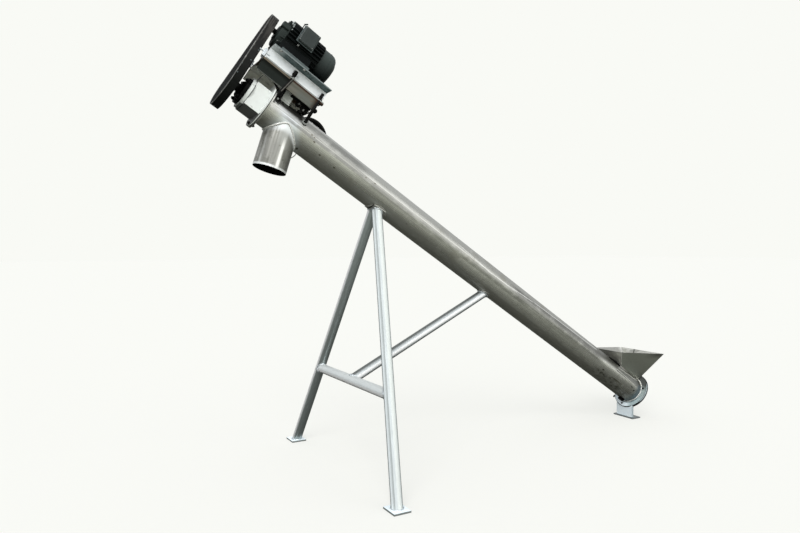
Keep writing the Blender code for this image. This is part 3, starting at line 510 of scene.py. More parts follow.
def near_spout(tree):
    """1 at the spout's wall, fading out over 34 mm of the tube."""
    return ranged(tree, OFF_SPOUT(tree), SPOUT_RADIUS, SPOUT_RADIUS + 0.034, 1.0, 0.0, smooth=True)


marks(TUBE_STEEL,
      ((0.8, 0.84, 0.86), 1, 0.12, near_spout, ease(V, 0.045, 0.0), clouds(0.05, 0.2, 0.5)),
      # painted shade on the tube's top under the bed
      ((0.07, 0.07, 0.06), 1, 0.2, band(S, 2.7, 2.866, 0.012), ease(V, 0.046, 0.056), clouds(0.04, 0.1, 0.4)))

SEAM_ANGLE = math.radians(9.0)


def seam_line(lift, half):
    """A line along the left side, lift metres above the seam: where the angle round the axis is near it."""
    def value(tree):
        angle = math_node(tree, "ARCTAN2", V(tree), product(tree, Y(tree), -1.0))
        gap = math_node(tree, "ABSOLUTE", math_node(tree, "SUBTRACT", angle, SEAM_ANGLE + lift / TUBE_RADIUS))
        return ranged(tree, gap, half * 0.5 / TUBE_RADIUS, half * 1.6 / TUBE_RADIUS, 1.0, 0.0)
    return value


for lift, half, rgb, low in (
    (0.0, 0.0012, (0.2, 0.195, 0.16), 0.35), (0.0032, 0.0014, (0.74, 0.74, 0.7), 0.3),
):
    marks(TUBE_STEEL, (rgb, 0.8, 0, seam_line(lift, half), LEFT_SIDE, band(S, 1.1, 2.62, 0.5),
                       clouds(0.03, low, low + 0.25, (0.35, 1.0, 1.0))))
marks(TUBE_STEEL,
      ((0.13, 0.12, 0.1), 0.8, 0, clouds(0.011, 0.7, 0.74)),
      ((0.2, 0.2, 0.17), 0.5, 0, band(S, 0.0, 0.3, 0.25), clouds(0.035, 0.45, 0.62)),
      # painted light: the middle of the low end lighter
      ((0.8, 0.8, 0.76), 0.7, 0, ramp(S, 0.75, 0.4), band(V, -0.028, 0.018, 0.022)),
      # painted shade: the highlight dimmed near the low end
      ((0.2, 0.2, 0.18), 0.85, 0.2, band(S, 0.27, 0.46, 0.1), ramp(V, 0.016, 0.034)),
      ((0.24, 0.28, 0.3), 1, 0.15, ramp(S, 0.075, 0.05), ramp(V, 0.04, 0.03)),
      # painted shade: the highlight dimmed beside the hopper's lap
      ((0.24, 0.245, 0.225), 0.8, 0.15, band(S, 0.06, 0.28, 0.012), band(V, 0.018, 0.055, 0.008), LEFT_SIDE),
      # painted shade: darker and rougher towards the bottom
      ((0.26, 0.26, 0.22), 0.4, 0.6, ramp(V, -0.05, -0.066)),
      ((0.12, 0.12, 0.09), 0.75, 0, band(S, 0.2, 0.4, 0.06), band(V, -0.068, -0.036, 0.008),
       clouds(0.02, 0.52, 0.58, (0.6, 1.0, 1.0))))

# Soft bands of painted shade and painted light: from s, to s, from v, to v, softness, share and shade
for low_s, high_s, low_v, high_v, soft, share, shade in (
    (1.2, 2.3, -0.01, 0.002, 0.014, 0.65, 0.2), (0.5, 1.2, 0.0, 0.036, 0.012, 0.75, 0.2),
    (2.4, 2.75, 0.016, 0.05, 0.01, 0.6, 0.2), (2.4, 2.75, -0.006, 0.004, 0.005, 0.7, 0.2),
    (0.5, 1.6, -0.05, -0.026, 0.012, 0.7, 0.8), (0.15, 0.24, -0.05, -0.024, 0.012, 0.6, 0.7),
):
    marks(TUBE_STEEL, ((shade, shade, shade * 0.93), share, 0.0, band(S, low_s, high_s, 0.12),
                       band(V, low_v, high_v, soft), clouds(0.035, 0.2, 0.5, (0.5, 1.0, 1.0))))

# Thin painted highlights: the ends as (s, v), half the width, and the shade
for (start_s, start_v), (end_s, end_v), half, shade in (
    ((0.5, 0.05), (1.07, 0.0375), 0.0022, 1.0), ((1.1, 0.033), (1.26, 0.022), 0.002, 0.95),
    ((1.24, 0.022), (1.45, 0.014), 0.0016, 0.85), ((1.44, 0.014), (1.68, 0.031), 0.0018, 0.85),
):
    fall = (start_v - end_v) / (end_s - start_s)
    at = start_v + start_s * fall
    marks(TUBE_STEEL, ((shade, shade, shade - 0.04), 0.8, 0.1, band(S, start_s, end_s, 0.02), LEFT_SIDE,
                       band(along(TUBE_END, ABOVE + fall * UPHILL), at - half / 2, at + half / 2, half)))

# Specks: the middle as (s, v), half the length, half the width and the colour
for place, half_s, half_v, rgb in (
    ((0.108, -0.0075), 0.01, 0.0045, (0.07, 0.07, 0.06)), ((0.25, -0.034), 0.05, 0.005, (0.24, 0.23, 0.18)),
    ((0.078, -0.017), 0.009, 0.0055, (0.05, 0.05, 0.045)), ((0.385, -0.03), 0.012, 0.006, (0.16, 0.15, 0.12)),
    ((2.653, 0.0083), 0.006, 0.0035, (0.12, 0.1, 0.07)), ((2.637, 0.0064), 0.005, 0.003, (0.12, 0.1, 0.07)),
    ((2.627, -0.0116), 0.007, 0.004, (0.1, 0.08, 0.06)), ((2.571, -0.0423), 0.007, 0.004, (0.14, 0.13, 0.1)),
    ((2.48, -0.0467), 0.008, 0.004, (0.16, 0.15, 0.12)), ((2.324, 0.0063), 0.006, 0.003, (0.14, 0.12, 0.09)),
    ((2.268, 0.011), 0.007, 0.0035, (0.12, 0.11, 0.08)), ((2.668, -0.0724), 0.007, 0.004, (0.1, 0.09, 0.07)),
):
    marks(TUBE_STEEL, (rgb, 0.9, 0.0, spot(place, half_s, half_v), LEFT_SIDE))

# %% [markdown]
# ### Marks on the other pieces
#
# The spout is brushed near the tube, with a light band at its mouth; painted shade makes it dark inside
# and on its near side, and a painted highlight runs down it. The bed is black towards its top end, tan and
# rusty along its upper edge, with painted light on its far skirt's inside. The fins' ends and the shield
# carry painted highlights and painted light, the hopper's walls are painted lighter or darker by the way
# that they face, bright inside near the rim, and each pipe is paler on the side towards the light and
# darker on the others, as painted highlights and painted shade. The rails, the low flange, the post, the
# end cover, the housing and the guard carry painted shade.

# %% Spout
DEPTH = along(SPOUT_START, SPOUT_AXIS)
BESIDE = along(SPOUT_START, np.array((0.895, -0.341, -0.287)) / SPOUT_RADIUS)
FRONT = ramp(facing(-0.326, -0.945, 0.0), 0.0, 0.05)
STREAKY = clouds(0.03, 0.35, 0.6, (0.4, 1.0, 0.4))


def near_tube(tree):
    """1 beside the tube, fading out over 18 mm of the spout."""
    return ranged(tree, OFF_TUBE(tree), TUBE_RADIUS + 0.006, TUBE_RADIUS + 0.024, 1.0, 0.0, smooth=True)


marks(SPOUT_STEEL,
      ((0.88, 0.91, 0.91), 0.9, 0.15, near_tube, clouds(0.06, 0.25, 0.45)),
      # painted shade on the spout's near side
      ((0.17, 0.17, 0.155), 1, 0.1, FRONT, ease(BESIDE, 0.36, -0.05), ramp(BESIDE, -1.0, -0.35, 0.15, 0.82),
       ramp(DEPTH, 0.02, 0.13, 0.55, 1.0)),
      ((0.14, 0.14, 0.12), 0.6, 0, FRONT, STREAKY, band(BESIDE, -0.2, -0.15, 0.03)),
      ((0.8, 0.81, 0.78), 0.6, 0, FRONT, STREAKY, band(BESIDE, -0.66, -0.6, 0.06)),
      ((0.1, 0.1, 0.085), 0.45, 0, FRONT, clouds(0.016, 0.6, 0.68)),
      # painted light: the upper right lighter
      ((0.46, 0.47, 0.44), 1, 0, FRONT, ramp(DEPTH, 0.12, 0.07), ramp(BESIDE, 0.0, 0.3)),
      # painted highlight: a bright streak down the spout
      ((1.0, 1.0, 0.96), 1, 0, FRONT, band(BESIDE, 0.38, 0.46, 0.08), ramp(DEPTH, 0.08, 0.13)),
      # painted shade at the right edge
      ((0.2, 0.2, 0.18), 0.6, 0.1, FRONT, ramp(BESIDE, 0.5, 0.58)),
      ((0.98, 1.0, 1.0), 0.9, 0.15, near_tube, FRONT, ramp(BESIDE, -0.55, 0.05)),
      ((0.9, 0.92, 0.91), 0.85, 0.15, ease(DEPTH, SPOUT_LENGTH - 0.013, SPOUT_LENGTH - 0.007),
       clouds(0.05, 0.2, 0.4)),
      # painted shade: the inside near black
      ((0.012, 0.014, 0.011), 1, 0.4, ramp(OFF_SPOUT, SPOUT_RADIUS - 0.0008, SPOUT_RADIUS - 0.0014)))

# %% Rails, bed, motor and guard
marks(RAIL_ZINC,
      # painted shade: the top flange's underside and face darker
      ((0.06, 0.1, 0.1), 1, 0.2, band(V, 0.2266, 0.2276, 0.0004), ramp(S, 3.03, 2.94)),
      ((0.17, 0.2, 0.2), 1, 0, band(V, 0.2279, 0.24, 0.0004)),
      # darker towards the bottom: painted shade over the web's foot, dirt on the bottom flange's edge
      ((0.13, 0.14, 0.12), 0.8, 0.2, ease(V, 0.174, 0.16)))

upper_part, upper_edge = ease(S, 2.858, 2.876), ramp(V, 0.1425, 0.1445)
marks(BED_STEEL,
      ((0.017, 0.021, 0.018), 1, 0.15, upper_part),
      ((0.004, 0.005, 0.003), 1, 0, upper_part, ease(V, 0.118, 0.14)),
      ((0.22, 0.23, 0.21), 1, 0, upper_part, ramp(V, 0.0885, 0.087)),
      ((0.125, 0.135, 0.118), 0.8, 0, band(S, 2.745, 2.792, 0.045), ease(V, 0.14, 0.115)),
      ((0.035, 0.026, 0.018), 0.8, 0, ease(S, 2.745, 2.722)),
      ((0.17, 0.145, 0.11), 1, 0, upper_edge, ramp(S, 2.868, 2.88)),
      ((0.045, 0.022, 0.014), 0.9, 0, upper_edge, ramp(S, 2.868, 2.855)),
      # painted light: the far skirt's inside and the platform's underside beside it lightened
      ((0.95, 0.95, 0.9), 1, 0.4, band(Y, 0.097, 0.0988, 0.0003), ramp(V, 0.144, 0.1425)),
      ((0.95, 0.95, 0.9), 1, 0.4, band(V, 0.1435, 0.1443, 0.0003), ramp(Y, 0.0, 0.03), ramp(S, 2.87, 2.89)))

OFF_MOTOR = off_axis(on_tube((0.0, 0.0, MOTOR_V)), UPHILL)
marks(MOTOR_PAINT,
      # painted light: the shield's face lighter
      ((0.034, 0.042, 0.039), 1, 0, ramp(S, 2.9855, 2.9865), ramp(OFF_MOTOR, 0.09, 0.08)),
      # painted light: the fan cover lighter towards its top
      ((0.05, 0.062, 0.058), 1, 0, ramp(S, 2.806, 2.805), ramp(V, MOTOR_V - 0.06, MOTOR_V + 0.03)),
      # painted highlight: the fins' ends towards the top
      ((0.3, 0.33, 0.32), 1, 0, band(S, 2.981, 2.985, 0.002), band(OFF_MOTOR, 0.09, 0.095, 0.004),
       ramp(V, MOTOR_V, MOTOR_V + 0.02), clouds(0.02, 0.35, 0.5)),
      # painted highlight: the shield's upper rim
      ((0.3, 0.33, 0.32), 1, 0, band(S, 2.989, 2.9945, 0.0005), ramp(OFF_MOTOR, 0.091, 0.092),
       ramp(V, MOTOR_V + 0.02, MOTOR_V + 0.03)))

# The guard's face is painted darker and rougher, as painted shade, so that seen almost from the edge it is
# dead black; painted shade darkens it towards the bottom, and its upper end has pale streaks
marks(GUARD_PAINT,
      ((0.0015, 0.0015, 0.0015), 1, 0.6, ramp(S, 3.079, 3.08)),
      ((0.002, 0.0028, 0.002), 1, 0.4, ramp(V, 0.16, -0.02)),
      ((0.085, 0.078, 0.07), 1, 0, ramp(V, 0.2, 0.4), clouds(0.025, 0.47, 0.6, (2.6, 1.0, 0.15))))

# %% Hopper
# Painted light and shade by the way that each wall faces: the far and low walls' insides lighter towards the
# rim, the upper and near walls lighter outside, and painted shade on the near wall under its rim
far_side = ramp(TO_LEFT, 0.5, 0.6), ramp(Y, 0.0, 0.01)
near_side = ramp(TO_LEFT, 0.5, 0.6), ramp(Y, 0.0, -0.01)
low_side = ramp(TO_UPPER_END, 0.88, 0.91), ramp(X, 0.0, 0.01)
upper_side = ramp(TO_UPPER_END, 0.8, 0.84), ramp(X, -0.06, -0.08)
marks(HOPPER_STEEL,
      ((0.46, 0.46, 0.43), 1, 0.1, *far_side, ramp(Z, 0.28, 0.4)),
      ((0.8, 0.8, 0.77), 1, 0.3, *far_side, ramp(X, 0.08, 0.13)),
      ((0.7, 0.7, 0.66), 1, 0.3, *low_side, ramp(Z, 0.3, 0.39)),
      ((0.38, 0.38, 0.35), 0.6, 0, *low_side, clouds(0.045, 0.5, 0.62, (1.0, 0.5, 1.0))),
      ((0.16, 0.16, 0.145), 1, 0, ramp(TO_SKY, 0.9, 0.95), ramp(Z, 0.4, 0.405)),
      ((0.46, 0.46, 0.42), 1, 0.2, *upper_side),
      ((0.8, 0.8, 0.74), 1, 0, *upper_side, ramp(Y, -0.03, -0.08)),
      ((0.34, 0.34, 0.31), 0.5, 0, *upper_side, clouds(0.06, 0.42, 0.58)),
      ((0.1, 0.1, 0.09), 1, 0, *low_side, band(Y, 0.056, 0.06, 0.003)),
      ((0.6, 0.62, 0.55), 0.85, 0, *near_side),
      ((0.17, 0.17, 0.15), 0.7, 0, *near_side, ramp(Z, 0.378, 0.404), ramp(X, 0.0, 0.09)))

# %% Low flange, foot, legs, braces and housing
# Painted shade over the low flange's face: darker on its near side and its upper part, a dark blue arc beside
# the tube and a dark rim
flange = band(S, 0.0118, 0.0204, 0.0002), ramp(OFF_TUBE, 0.118, 0.116)
marks(MATT_ZINC,
      ((0.4, 0.5, 0.51), 1, 0.1, *flange, ramp(Y, -0.015, -0.045)),
      ((0.33, 0.39, 0.38), 1, 0.1, *flange, ramp(V, -0.05, -0.02)),
      ((0.075, 0.08, 0.075), 1, 0.2, *flange, ramp(V, 0.01, 0.05)),
      ((0.08, 0.14, 0.16), 0.8, 0.1, *flange, ramp(OFF_TUBE, 0.0925, 0.087), ramp(V, -0.02, -0.05)),
      ((0.02, 0.024, 0.024), 1, 0.2, *flange, ramp(OFF_TUBE, 0.112, 0.1132)),
      # painted shade on the post's side face
      ((0.42, 0.49, 0.51), 1, 0, ramp(TO_LEFT, 0.8, 0.9), ramp(S, 0.15, 0.14)),
      ((0.2, 0.22, 0.21), 1, 0, ramp(Z, 0.0079, 0.0077), ramp(TO_SKY, 0.6, 0.4)))
# painted shade: the end cover near black
marks(DARK_ZINC, ((0.03, 0.035, 0.035), 1, 0.2, ramp(Z, 0.02, 0.03)))

to_light = facing(-0.94, 0.34, 0.0)
# painted highlight on the right leg's faces towards the light, painted shade on those turned away
marks(FAR_LEG_ZINC,
      ((1.0, 1.0, 1.0), 1, 0.2, ramp(to_light, 0.72, 0.84)),
      ((0.28, 0.32, 0.32), 0.6, 0, ramp(to_light, 0.7, 0.55)))
sideways = facing(0.877, -0.483, 0.0)
# painted highlights and painted shade on the left leg by the way that its faces turn: a lighter side, a
# bright line, a dark line and dark edges
marks(LEG_ZINC,
      ((0.76, 0.8, 0.77), 1, 0, band(sideways, 0.3, 0.72, 0.2)),
      ((0.88, 0.94, 0.95), 1, 0, band(sideways, -0.8, -0.6, 0.08)),
      ((0.26, 0.29, 0.29), 0.75, 0, band(sideways, -0.45, -0.36, 0.06)),
      ((0.2, 0.23, 0.22), 1, 0, ramp(sideways, 0.9, 0.97)),
      ((0.2, 0.23, 0.22), 1, 0, ramp(sideways, -0.9, -0.97)))
# painted shade on the braces' tops, a painted highlight below the middle and painted shade on the lower edge
for finish, rise, middle, top in ((CROSS_ZINC, facing(0.0, 0.0, 1.0), -0.32, (0.62, 0.65, 0.64)),
                                  (DIAGONAL_ZINC, facing(-0.4413, 0.0, 0.8973), 0.05, (0.1, 0.11, 0.105))):
    marks(finish,
          (top, 1.0, 0.0, ramp(rise, middle + 0.25, 0.9)),
          ((1.0, 1.0, 1.0), 1, 0, band(rise, middle - 0.16, middle + 0.16, 0.18)),
          ((0.03, 0.035, 0.033), 1, 0, ramp(rise, middle - 0.24, -0.72)))
# painted shade on the housing's underside
marks(HOUSING_PAINT, ((0.1, 0.105, 0.1), 1, 0, ramp(V, -0.063, -0.0638), band(S, 2.9, 2.99, 0.001)))
# %% [markdown]
# ## Surfaces from arrays
#
# Every new piece is a grid of points: rows along the piece, columns round it. The grid's faces are
# worked out as whole arrays. Columns always close round. The rows either close too, as on a ring,
# or end in a pole, so each piece is watertight, and its signed volume tells which way it faces.

# %% Shells


def shell(grid, ring=False):
    """Faces of a (rows, columns, 3) grid: quads between neighbours, and a fan of triangles to a pole at
    the middle of each end row unless the rows close into a ring. Returns points and faces."""
    rows, columns = grid.shape[:2]
    index = np.arange(rows * columns).reshape(rows, columns)
    if ring:
        index = np.vstack((index, index[:1]))
    below, above = index[:-1], index[1:]
    quads = np.stack((below, np.roll(below, -1, 1), np.roll(above, -1, 1), above), -1).reshape(-1, 4)
    points = grid.reshape(-1, 3)
    faces = [quads]
    if not ring:
        first, last = index[0], index[-1]
        poles = (np.full(columns, rows * columns), np.full(columns, rows * columns + 1))
        faces.append(np.stack((np.roll(first, -1), first, poles[0]), -1))
        faces.append(np.stack((last, np.roll(last, -1), poles[1]), -1))
        points = np.vstack((points, grid[0].mean(0), grid[-1].mean(0)))
    corners = [points[face] for face in faces]
    volume = sum(np.einsum("ij,ij->i", c[:, 0], np.cross(c[:, k], c[:, k + 1])).sum()
                 for c in corners for k in range(1, c.shape[1] - 1))
    return points, [face[:, ::-1] if volume < 0 else face for face in faces]


def add_piece(name, parts, finish, crease=35.0):
    """Joins shells into one mesh on the object's root body. Edges sharper than crease degrees stay sharp."""
    points, faces, start = [], [], 0
    for part_points, part_faces in parts:
        points.append(part_points)
        for face in part_faces:
            faces.extend((face + start).tolist())
        start += len(part_points)
    mesh = bpy.data.meshes.new(name)
    mesh.from_pydata(np.vstack(points).tolist(), [], faces)
    mesh.shade_smooth()
    mesh.set_sharp_from_angle(angle=math.radians(crease))
    mesh.materials.append(finish)
    item = bpy.data.objects.new(name, mesh)
    bpy.context.scene.collection.objects.link(item)
    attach(item, "root")


def unit(vectors):
    """The same directions with a length of 1."""
    vectors = np.asarray(vectors, float)
    return vectors / np.maximum(np.linalg.norm(vectors, axis=-1, keepdims=True), 1e-9)


def turns(columns, start=0.0):
    """Angles of evenly spaced columns round a circle."""
    return start + np.arange(columns) * math.tau / columns


def lathe(profile, columns=32):
    """Rows of (radius, height) turned round z: x and y are the radius times the angle's cosine and sine.

    A third number in the rows is how far each is a hexagon: the radius is multiplied by a mix of 1
    and the distance to the hexagon's side.
    """
    profile, angle = np.asarray(profile, float), turns(columns)
    radius, height = profile[:, :1], np.broadcast_to(profile[:, 1:2], (len(profile), columns))
    if profile.shape[1] == 3:
        side = math.cos(math.pi / 6) / np.cos(angle % (math.pi / 3) - math.pi / 6)
        radius = radius * (1 - profile[:, 2:] + profile[:, 2:] * side)
    return np.stack((radius * np.cos(angle), radius * np.sin(angle), height), -1)


def frame_at(place, axis, size=1.0, spin=0.0):
    """A (3, 4) frame whose z runs along axis, spun about it, scaled, and set at place."""
    z = unit(axis)
    x = unit(np.cross((0.0, 1.0, 0.0) if abs(z[1]) < 0.9 else (1.0, 0.0, 0.0), z))
    y = np.cross(z, x)
    along_x, along_y = math.cos(spin), math.sin(spin)
    turned = np.stack((x * along_x + y * along_y, y * along_x - x * along_y, z), 1)
    return np.column_stack((turned * size, place))


def repeated(part, frames):
    """Copies of a shell, one for each (3, 4) frame: a point becomes frame times point plus place."""
    points, faces = part
    frames = np.asarray(frames, float)
    placed = np.einsum("fij,pj->fpi", frames[:, :, :3], points) + frames[:, None, :, 3]
    steps = np.arange(len(frames)) * len(points)
    return placed.reshape(-1, 3), [
        (face[None] + steps[:, None, None]).reshape(-1, face.shape[1]) for face in faces]


def copies(part, *rows):
    """A shell at each row's (s, y, v) place, along its (s, y, v) axis, at its size, spun by its angle."""
    return repeated(part, [frame_at(on_tube(place), np.asarray(axis, float) @ TUBE_AXES, *size_and_spin)
                           for place, axis, *size_and_spin in rows])


def circles(places, side, rise, radius, columns):
    """A circle at each place of a path: the radius times (side times the cosine plus rise times the sine)."""
    radius = np.broadcast_to(np.asarray(radius, float), len(places))[:, None, None]
    angle = turns(columns)[:, None]
    return places[:, None] + radius * (side[:, None] * np.cos(angle) + rise[:, None] * np.sin(angle))


def bar(places, radius, columns=12, squash=1.0, up=(0.0, 1.0, 0.0)):
    """A rod along a path: each row is a circle, square to the path, of its own radius, squashed one way."""
    places = np.asarray(places, float)
    step = unit(np.gradient(places, axis=0))
    side = unit(np.cross(up, step))
    return shell(circles(places, side, squash * np.cross(step, side), radius, columns))


def rod(places, *shape):
    """A bar along (s, y, v) places."""
    return bar(on_tube(places), *shape)


def box_shell(low, high, bevel):
    """A box with chamfered edges: a rounded rectangle carried through four heights, drawn in at both ends."""
    low, high = np.minimum(low, high).astype(float), np.maximum(low, high).astype(float)
    b = min(bevel, (high - low).min() / 3)
    rows = []
    for inset, height in ((b, low[2]), (0.0, low[2] + b), (0.0, high[2] - b), (b, high[2])):
        x0, y0, x1, y1 = low[0] + inset, low[1] + inset, high[0] - inset, high[1] - inset
        rows.append([(x0 + b, y0, height), (x1 - b, y0, height), (x1, y0 + b, height), (x1, y1 - b, height),
                     (x1 - b, y1, height), (x0 + b, y1, height), (x0, y1 - b, height), (x0, y0 + b, height)])
    return shell(on_tube(rows))


def collar(inner, outer, low, high, columns):
    """A flat ring round z: a rectangle between two radii and two heights, turned."""
    return shell(lathe(((inner, low), (outer, low), (outer, high), (inner, high)), columns), ring=True)


def around(s, radius, angle, middle_v=0.0):
    """(s, y, v) places round an axis that runs along the tube. The angle is 0 above it."""
    return np.stack(np.broadcast_arrays(s, radius * np.sin(angle), middle_v + radius * np.cos(angle)), -1)


print("a unit ring has", len(shell(lathe(((1.0, 0.0), (1.0, 1.0))))[0]), "points")

# %% [markdown]
# ## Bolts and nuts
#
# A bolt's head is a circle that turns into a hexagon and back. Washer, head and chamfer are rows of
# one grid, so one small shell serves every fastener, copied by frames.

# %% Fastener shapes, in units of the thread's diameter
HEAD = ((1.06, -0.05, 0), (1.12, 0.0, 0), (1.12, 0.14, 0), (1.0, 0.16, 1), (1.02, 0.16, 1))
BOLT = shell(lathe(HEAD + ((1.02, 0.74, 1), (0.86, 0.86, 0), (0.5, 0.88, 0)), 24))
NUT = shell(lathe(HEAD + ((1.02, 0.86, 1), (0.86, 0.98, 0), (0.52, 0.98, 0), (0.5, 1.4, 0),
                          (0.42, 1.5, 0)), 24))
SCREW = shell(lathe(((0.85, -0.05, 0), (0.95, 0.25, 0), (0.8, 0.45, 0), (0.45, 0.55, 0), (0.4, 0.35, 1),
                     (0.2, 0.33, 1)), 18))
UP_TUBE, DOWN_TUBE, OUT_LEFT, OUT_UP, OUT_DOWN = (1, 0, 0), (-1, 0, 0), (0, -1, 0), (0, 0, 1), (0, 0, -1)

# Two bolts hold the housing to the upper flange, and three the cover to the lower flange
add_piece("upper_flange_bolts", [copies(NUT, *[
    ((s, y, v), axis, 0.007, spin) for s, axis in ((2.9016, UP_TUBE), (2.8848, DOWN_TUBE))
    for y, v, spin in ((0.0, -0.1005, 0.0), (0.087, 0.05, 0.3))])], BLACK_IRON)
add_piece("lower_flange_bolts", [copies(BOLT, *[
    ((s, y, v), axis, 0.0055, 0.2) for s, axis in ((0.0202, UP_TUBE), (0.0034, DOWN_TUBE))
    for y, v in ((-0.0875, 0.027), (0.02, -0.0985), (0.072, 0.064))])], BLACK_IRON)
add_piece("flange_gaskets", [
    copies(collar(inner, outer, -half, half, 96), ((s, 0.0, 0.0), UP_TUBE))
    for s, inner, outer, half in ((2.8932, 0.08, 0.1131, 0.0016), (2.9764, 0.06, 0.0787, 0.0012))],
    BLACK_IRON)

# %% [markdown]
# ## Welds
#
# A weld is a bead along a seam, rippled where each drop froze. The seam between two pipes is found
# exactly: for each angle round the first pipe, the line along it meets the other pipe's surface
# where a quadratic says. The bead's radius then swells and shrinks along the seam.

# %% Seams and beads
WELD_STEP, RIPPLE_PITCH, RIPPLE, UNEVEN = 0.0022, 0.006, 0.16, 0.14


def pipe_seam(pipe, other, columns=72, nearest=True):
    """Where lines along one (start, axis, radius) pipe meet another: the root t of
    |p + t a - (its share along b)| = R."""
    (start, axis, radius), (other_start, other_axis, other_radius) = pipe, other
    x, y, a = frame_at(start, axis)[:, :3].T
    b, angle = unit(other_axis), turns(columns)[:, None]
    points = start + radius * (np.cos(angle) * x + np.sin(angle) * y)
    gap = points - other_start
    flat_a, flat_gap = a - (a @ b) * b, gap - (gap @ b)[:, None] * b
    qa, qb, qc = flat_a @ flat_a, 2 * flat_gap @ flat_a, (flat_gap ** 2).sum(1) - other_radius ** 2
    root = np.sqrt(np.maximum(qb ** 2 - 4 * qa * qc, 0.0)) * (-1 if nearest else 1)
    return points + ((root - qb) / (2 * qa))[:, None] * a


def resampled(path, step, closed):
    """Points step apart on the straight lines of a path, and their distances along it."""
    path = np.vstack((path, path[:1])) if closed else np.asarray(path, float)
    length = np.concatenate(([0.0], np.cumsum(np.linalg.norm(np.diff(path, axis=0), axis=1))))
    places = np.linspace(0.0, length[-1], max(8, int(length[-1] / step)), endpoint=not closed)
    return np.stack([np.interp(places, length, path[:, k]) for k in range(3)], 1), places


def steps_round(places):
    """The direction of a closed path at each of its places."""
    return unit(np.roll(places, -1, 0) - np.roll(places, 1, 0))


def bead(path, radius, closed=False, seed=0):
    """A weld: a closed or open tube along a path, whose radius swells once every RIPPLE_PITCH."""
    places, distance = resampled(path, WELD_STEP, closed)
    shares = np.random.default_rng(seed).uniform(-1.0, 1.0, 24)
    uneven = np.interp(distance, np.linspace(0.0, distance[-1] + 1e-6, 24), shares)
    size = radius * (1 + RIPPLE * np.sin(math.tau * distance / RIPPLE_PITCH) + UNEVEN * uneven)
    if not closed:
        size[[0, -1]] *= 0.4
    step = steps_round(places) if closed else unit(np.gradient(places, axis=0))
    side = unit(np.cross(step, places - places.mean(0)))
    return shell(circles(places, side, np.cross(side, step), size, 8), ring=closed)


WELD_STEEL = make_finish(
    "weld_bead", (0.88, 0.88, 0.85), (0.62, 0.62, 0.58), 0.8, 0.4, grain=(40.0, 120.0), grain_bump=0.06,
    stain=((0.3, 0.26, 0.2), 0.02, 0.6, 0.1, 0.4))

spout_seam = pipe_seam(
    (SPOUT_START, SPOUT_AXIS, SPOUT_RADIUS), (TUBE_END, UPHILL, TUBE_RADIUS + 0.0006), 120, False)
add_piece("spout_weld", [bead(spout_seam, 0.0052, True, 1)], WELD_STEEL)
add_piece("flange_welds", [
    bead(on_tube(around(s, TUBE_RADIUS + 0.001, turns(96))), size, True, seed)
    for s, size, seed in ((0.0215, 0.0042, 2), (2.8835, 0.0038, 3))], WELD_STEEL)

LEG_RADIUS, BRACE_RADIUS, CROSS_Z = 0.0255, 0.0241, 0.4315
PAD = (TUBE_END, UPHILL, TUBE_RADIUS + 0.0043)
frame_welds = []
for number, side in enumerate((-1, 1)):
    foot, top = np.array((-2.018, side * 0.575, 0.0)), np.array((-1.817, side * 0.0235, 1.2586))
    seam = pipe_seam((foot, top - foot, LEG_RADIUS), PAD)
    seam = seam[seam[:, 1] * side > 0.001]
    order = np.argsort(np.arctan2(seam[:, 0] - top[0], (seam[:, 1] - top[1]) * side))
    slope = (top - foot) / (top - foot)[2]
    floor_ring = foot + slope * 0.0085 + LEG_RADIUS * np.stack(
        (np.cos(turns(48)), np.sin(turns(48)) * 1.09, np.zeros(48)), 1)
    middle = foot + (top - foot) * (CROSS_Z / top[2])
    centre = middle * (1, 0, 1)
    cross_seam = pipe_seam((centre, middle - centre, BRACE_RADIUS), (foot, top - foot, LEG_RADIUS + 0.0005))
    frame_welds += [bead(seam[order], 0.0042, False, 10 + number),
                    bead(floor_ring, 0.0038, True, 20 + number), bead(cross_seam, 0.004, True, 30 + number)]
brace_high = np.array((-1.147, 0.0, 0.8259))
cross_brace = (centre, (0, 1, 0), BRACE_RADIUS + 0.0005)
low_seam = pipe_seam((brace_high, centre - brace_high, BRACE_RADIUS), cross_brace)
high_seam = pipe_seam((centre, brace_high - centre, BRACE_RADIUS), PAD)
frame_welds += [bead(low_seam, 0.0038, True, 40), bead(high_seam, 0.004, True, 41)]
add_piece("frame_welds", frame_welds, ZINC)

# %% [markdown]
# ## The motor's castings
#
# The solid shows a ribbed drum between two ends. The real end shield is bolted at four lugs and has
# radial ribs and a small bearing cap, the fan hides behind a pressed cover with a wire grille, and
# a lug on top carries the lifting eye.

# %% Motor details
LUG_RADIUS, LUG_TURNS = 0.079, turns(4, math.pi / 4)
lug = shell(lathe(((0.0105, 0.0), (0.0115, 0.002), (0.0115, 0.02), (0.01, 0.023)), 20))
castings = [copies(lug, *[(place, UP_TUBE) for place in around(2.9795, LUG_RADIUS, LUG_TURNS, MOTOR_V)])]
for angle in turns(8, math.pi / 8):
    side = around(0.0, 0.0022, angle + math.pi / 2)
    rows = []
    for s_high, r in ((3.0215, 0.03), (3.0195, 0.05), (3.01, 0.0665), (2.992, 0.078)):
        low, high = (around(s, r, angle, MOTOR_V) for s in (2.986, s_high))
        rows.append((low + side, high + side, high - side, low - side))
    castings.append(shell(on_tube(rows)))
cap = lathe(((0.036, 3.0175), (0.036, 3.0225), (0.034, 3.0245), (0.0165, 3.0245), (0.0135, 3.022),
             (0.0135, 3.0175)), 40)
castings.append(copies(shell(cap, ring=True), ((0.0, 0.0, MOTOR_V), UP_TUBE)))
add_piece("motor_castings", castings, MOTOR_PAINT)

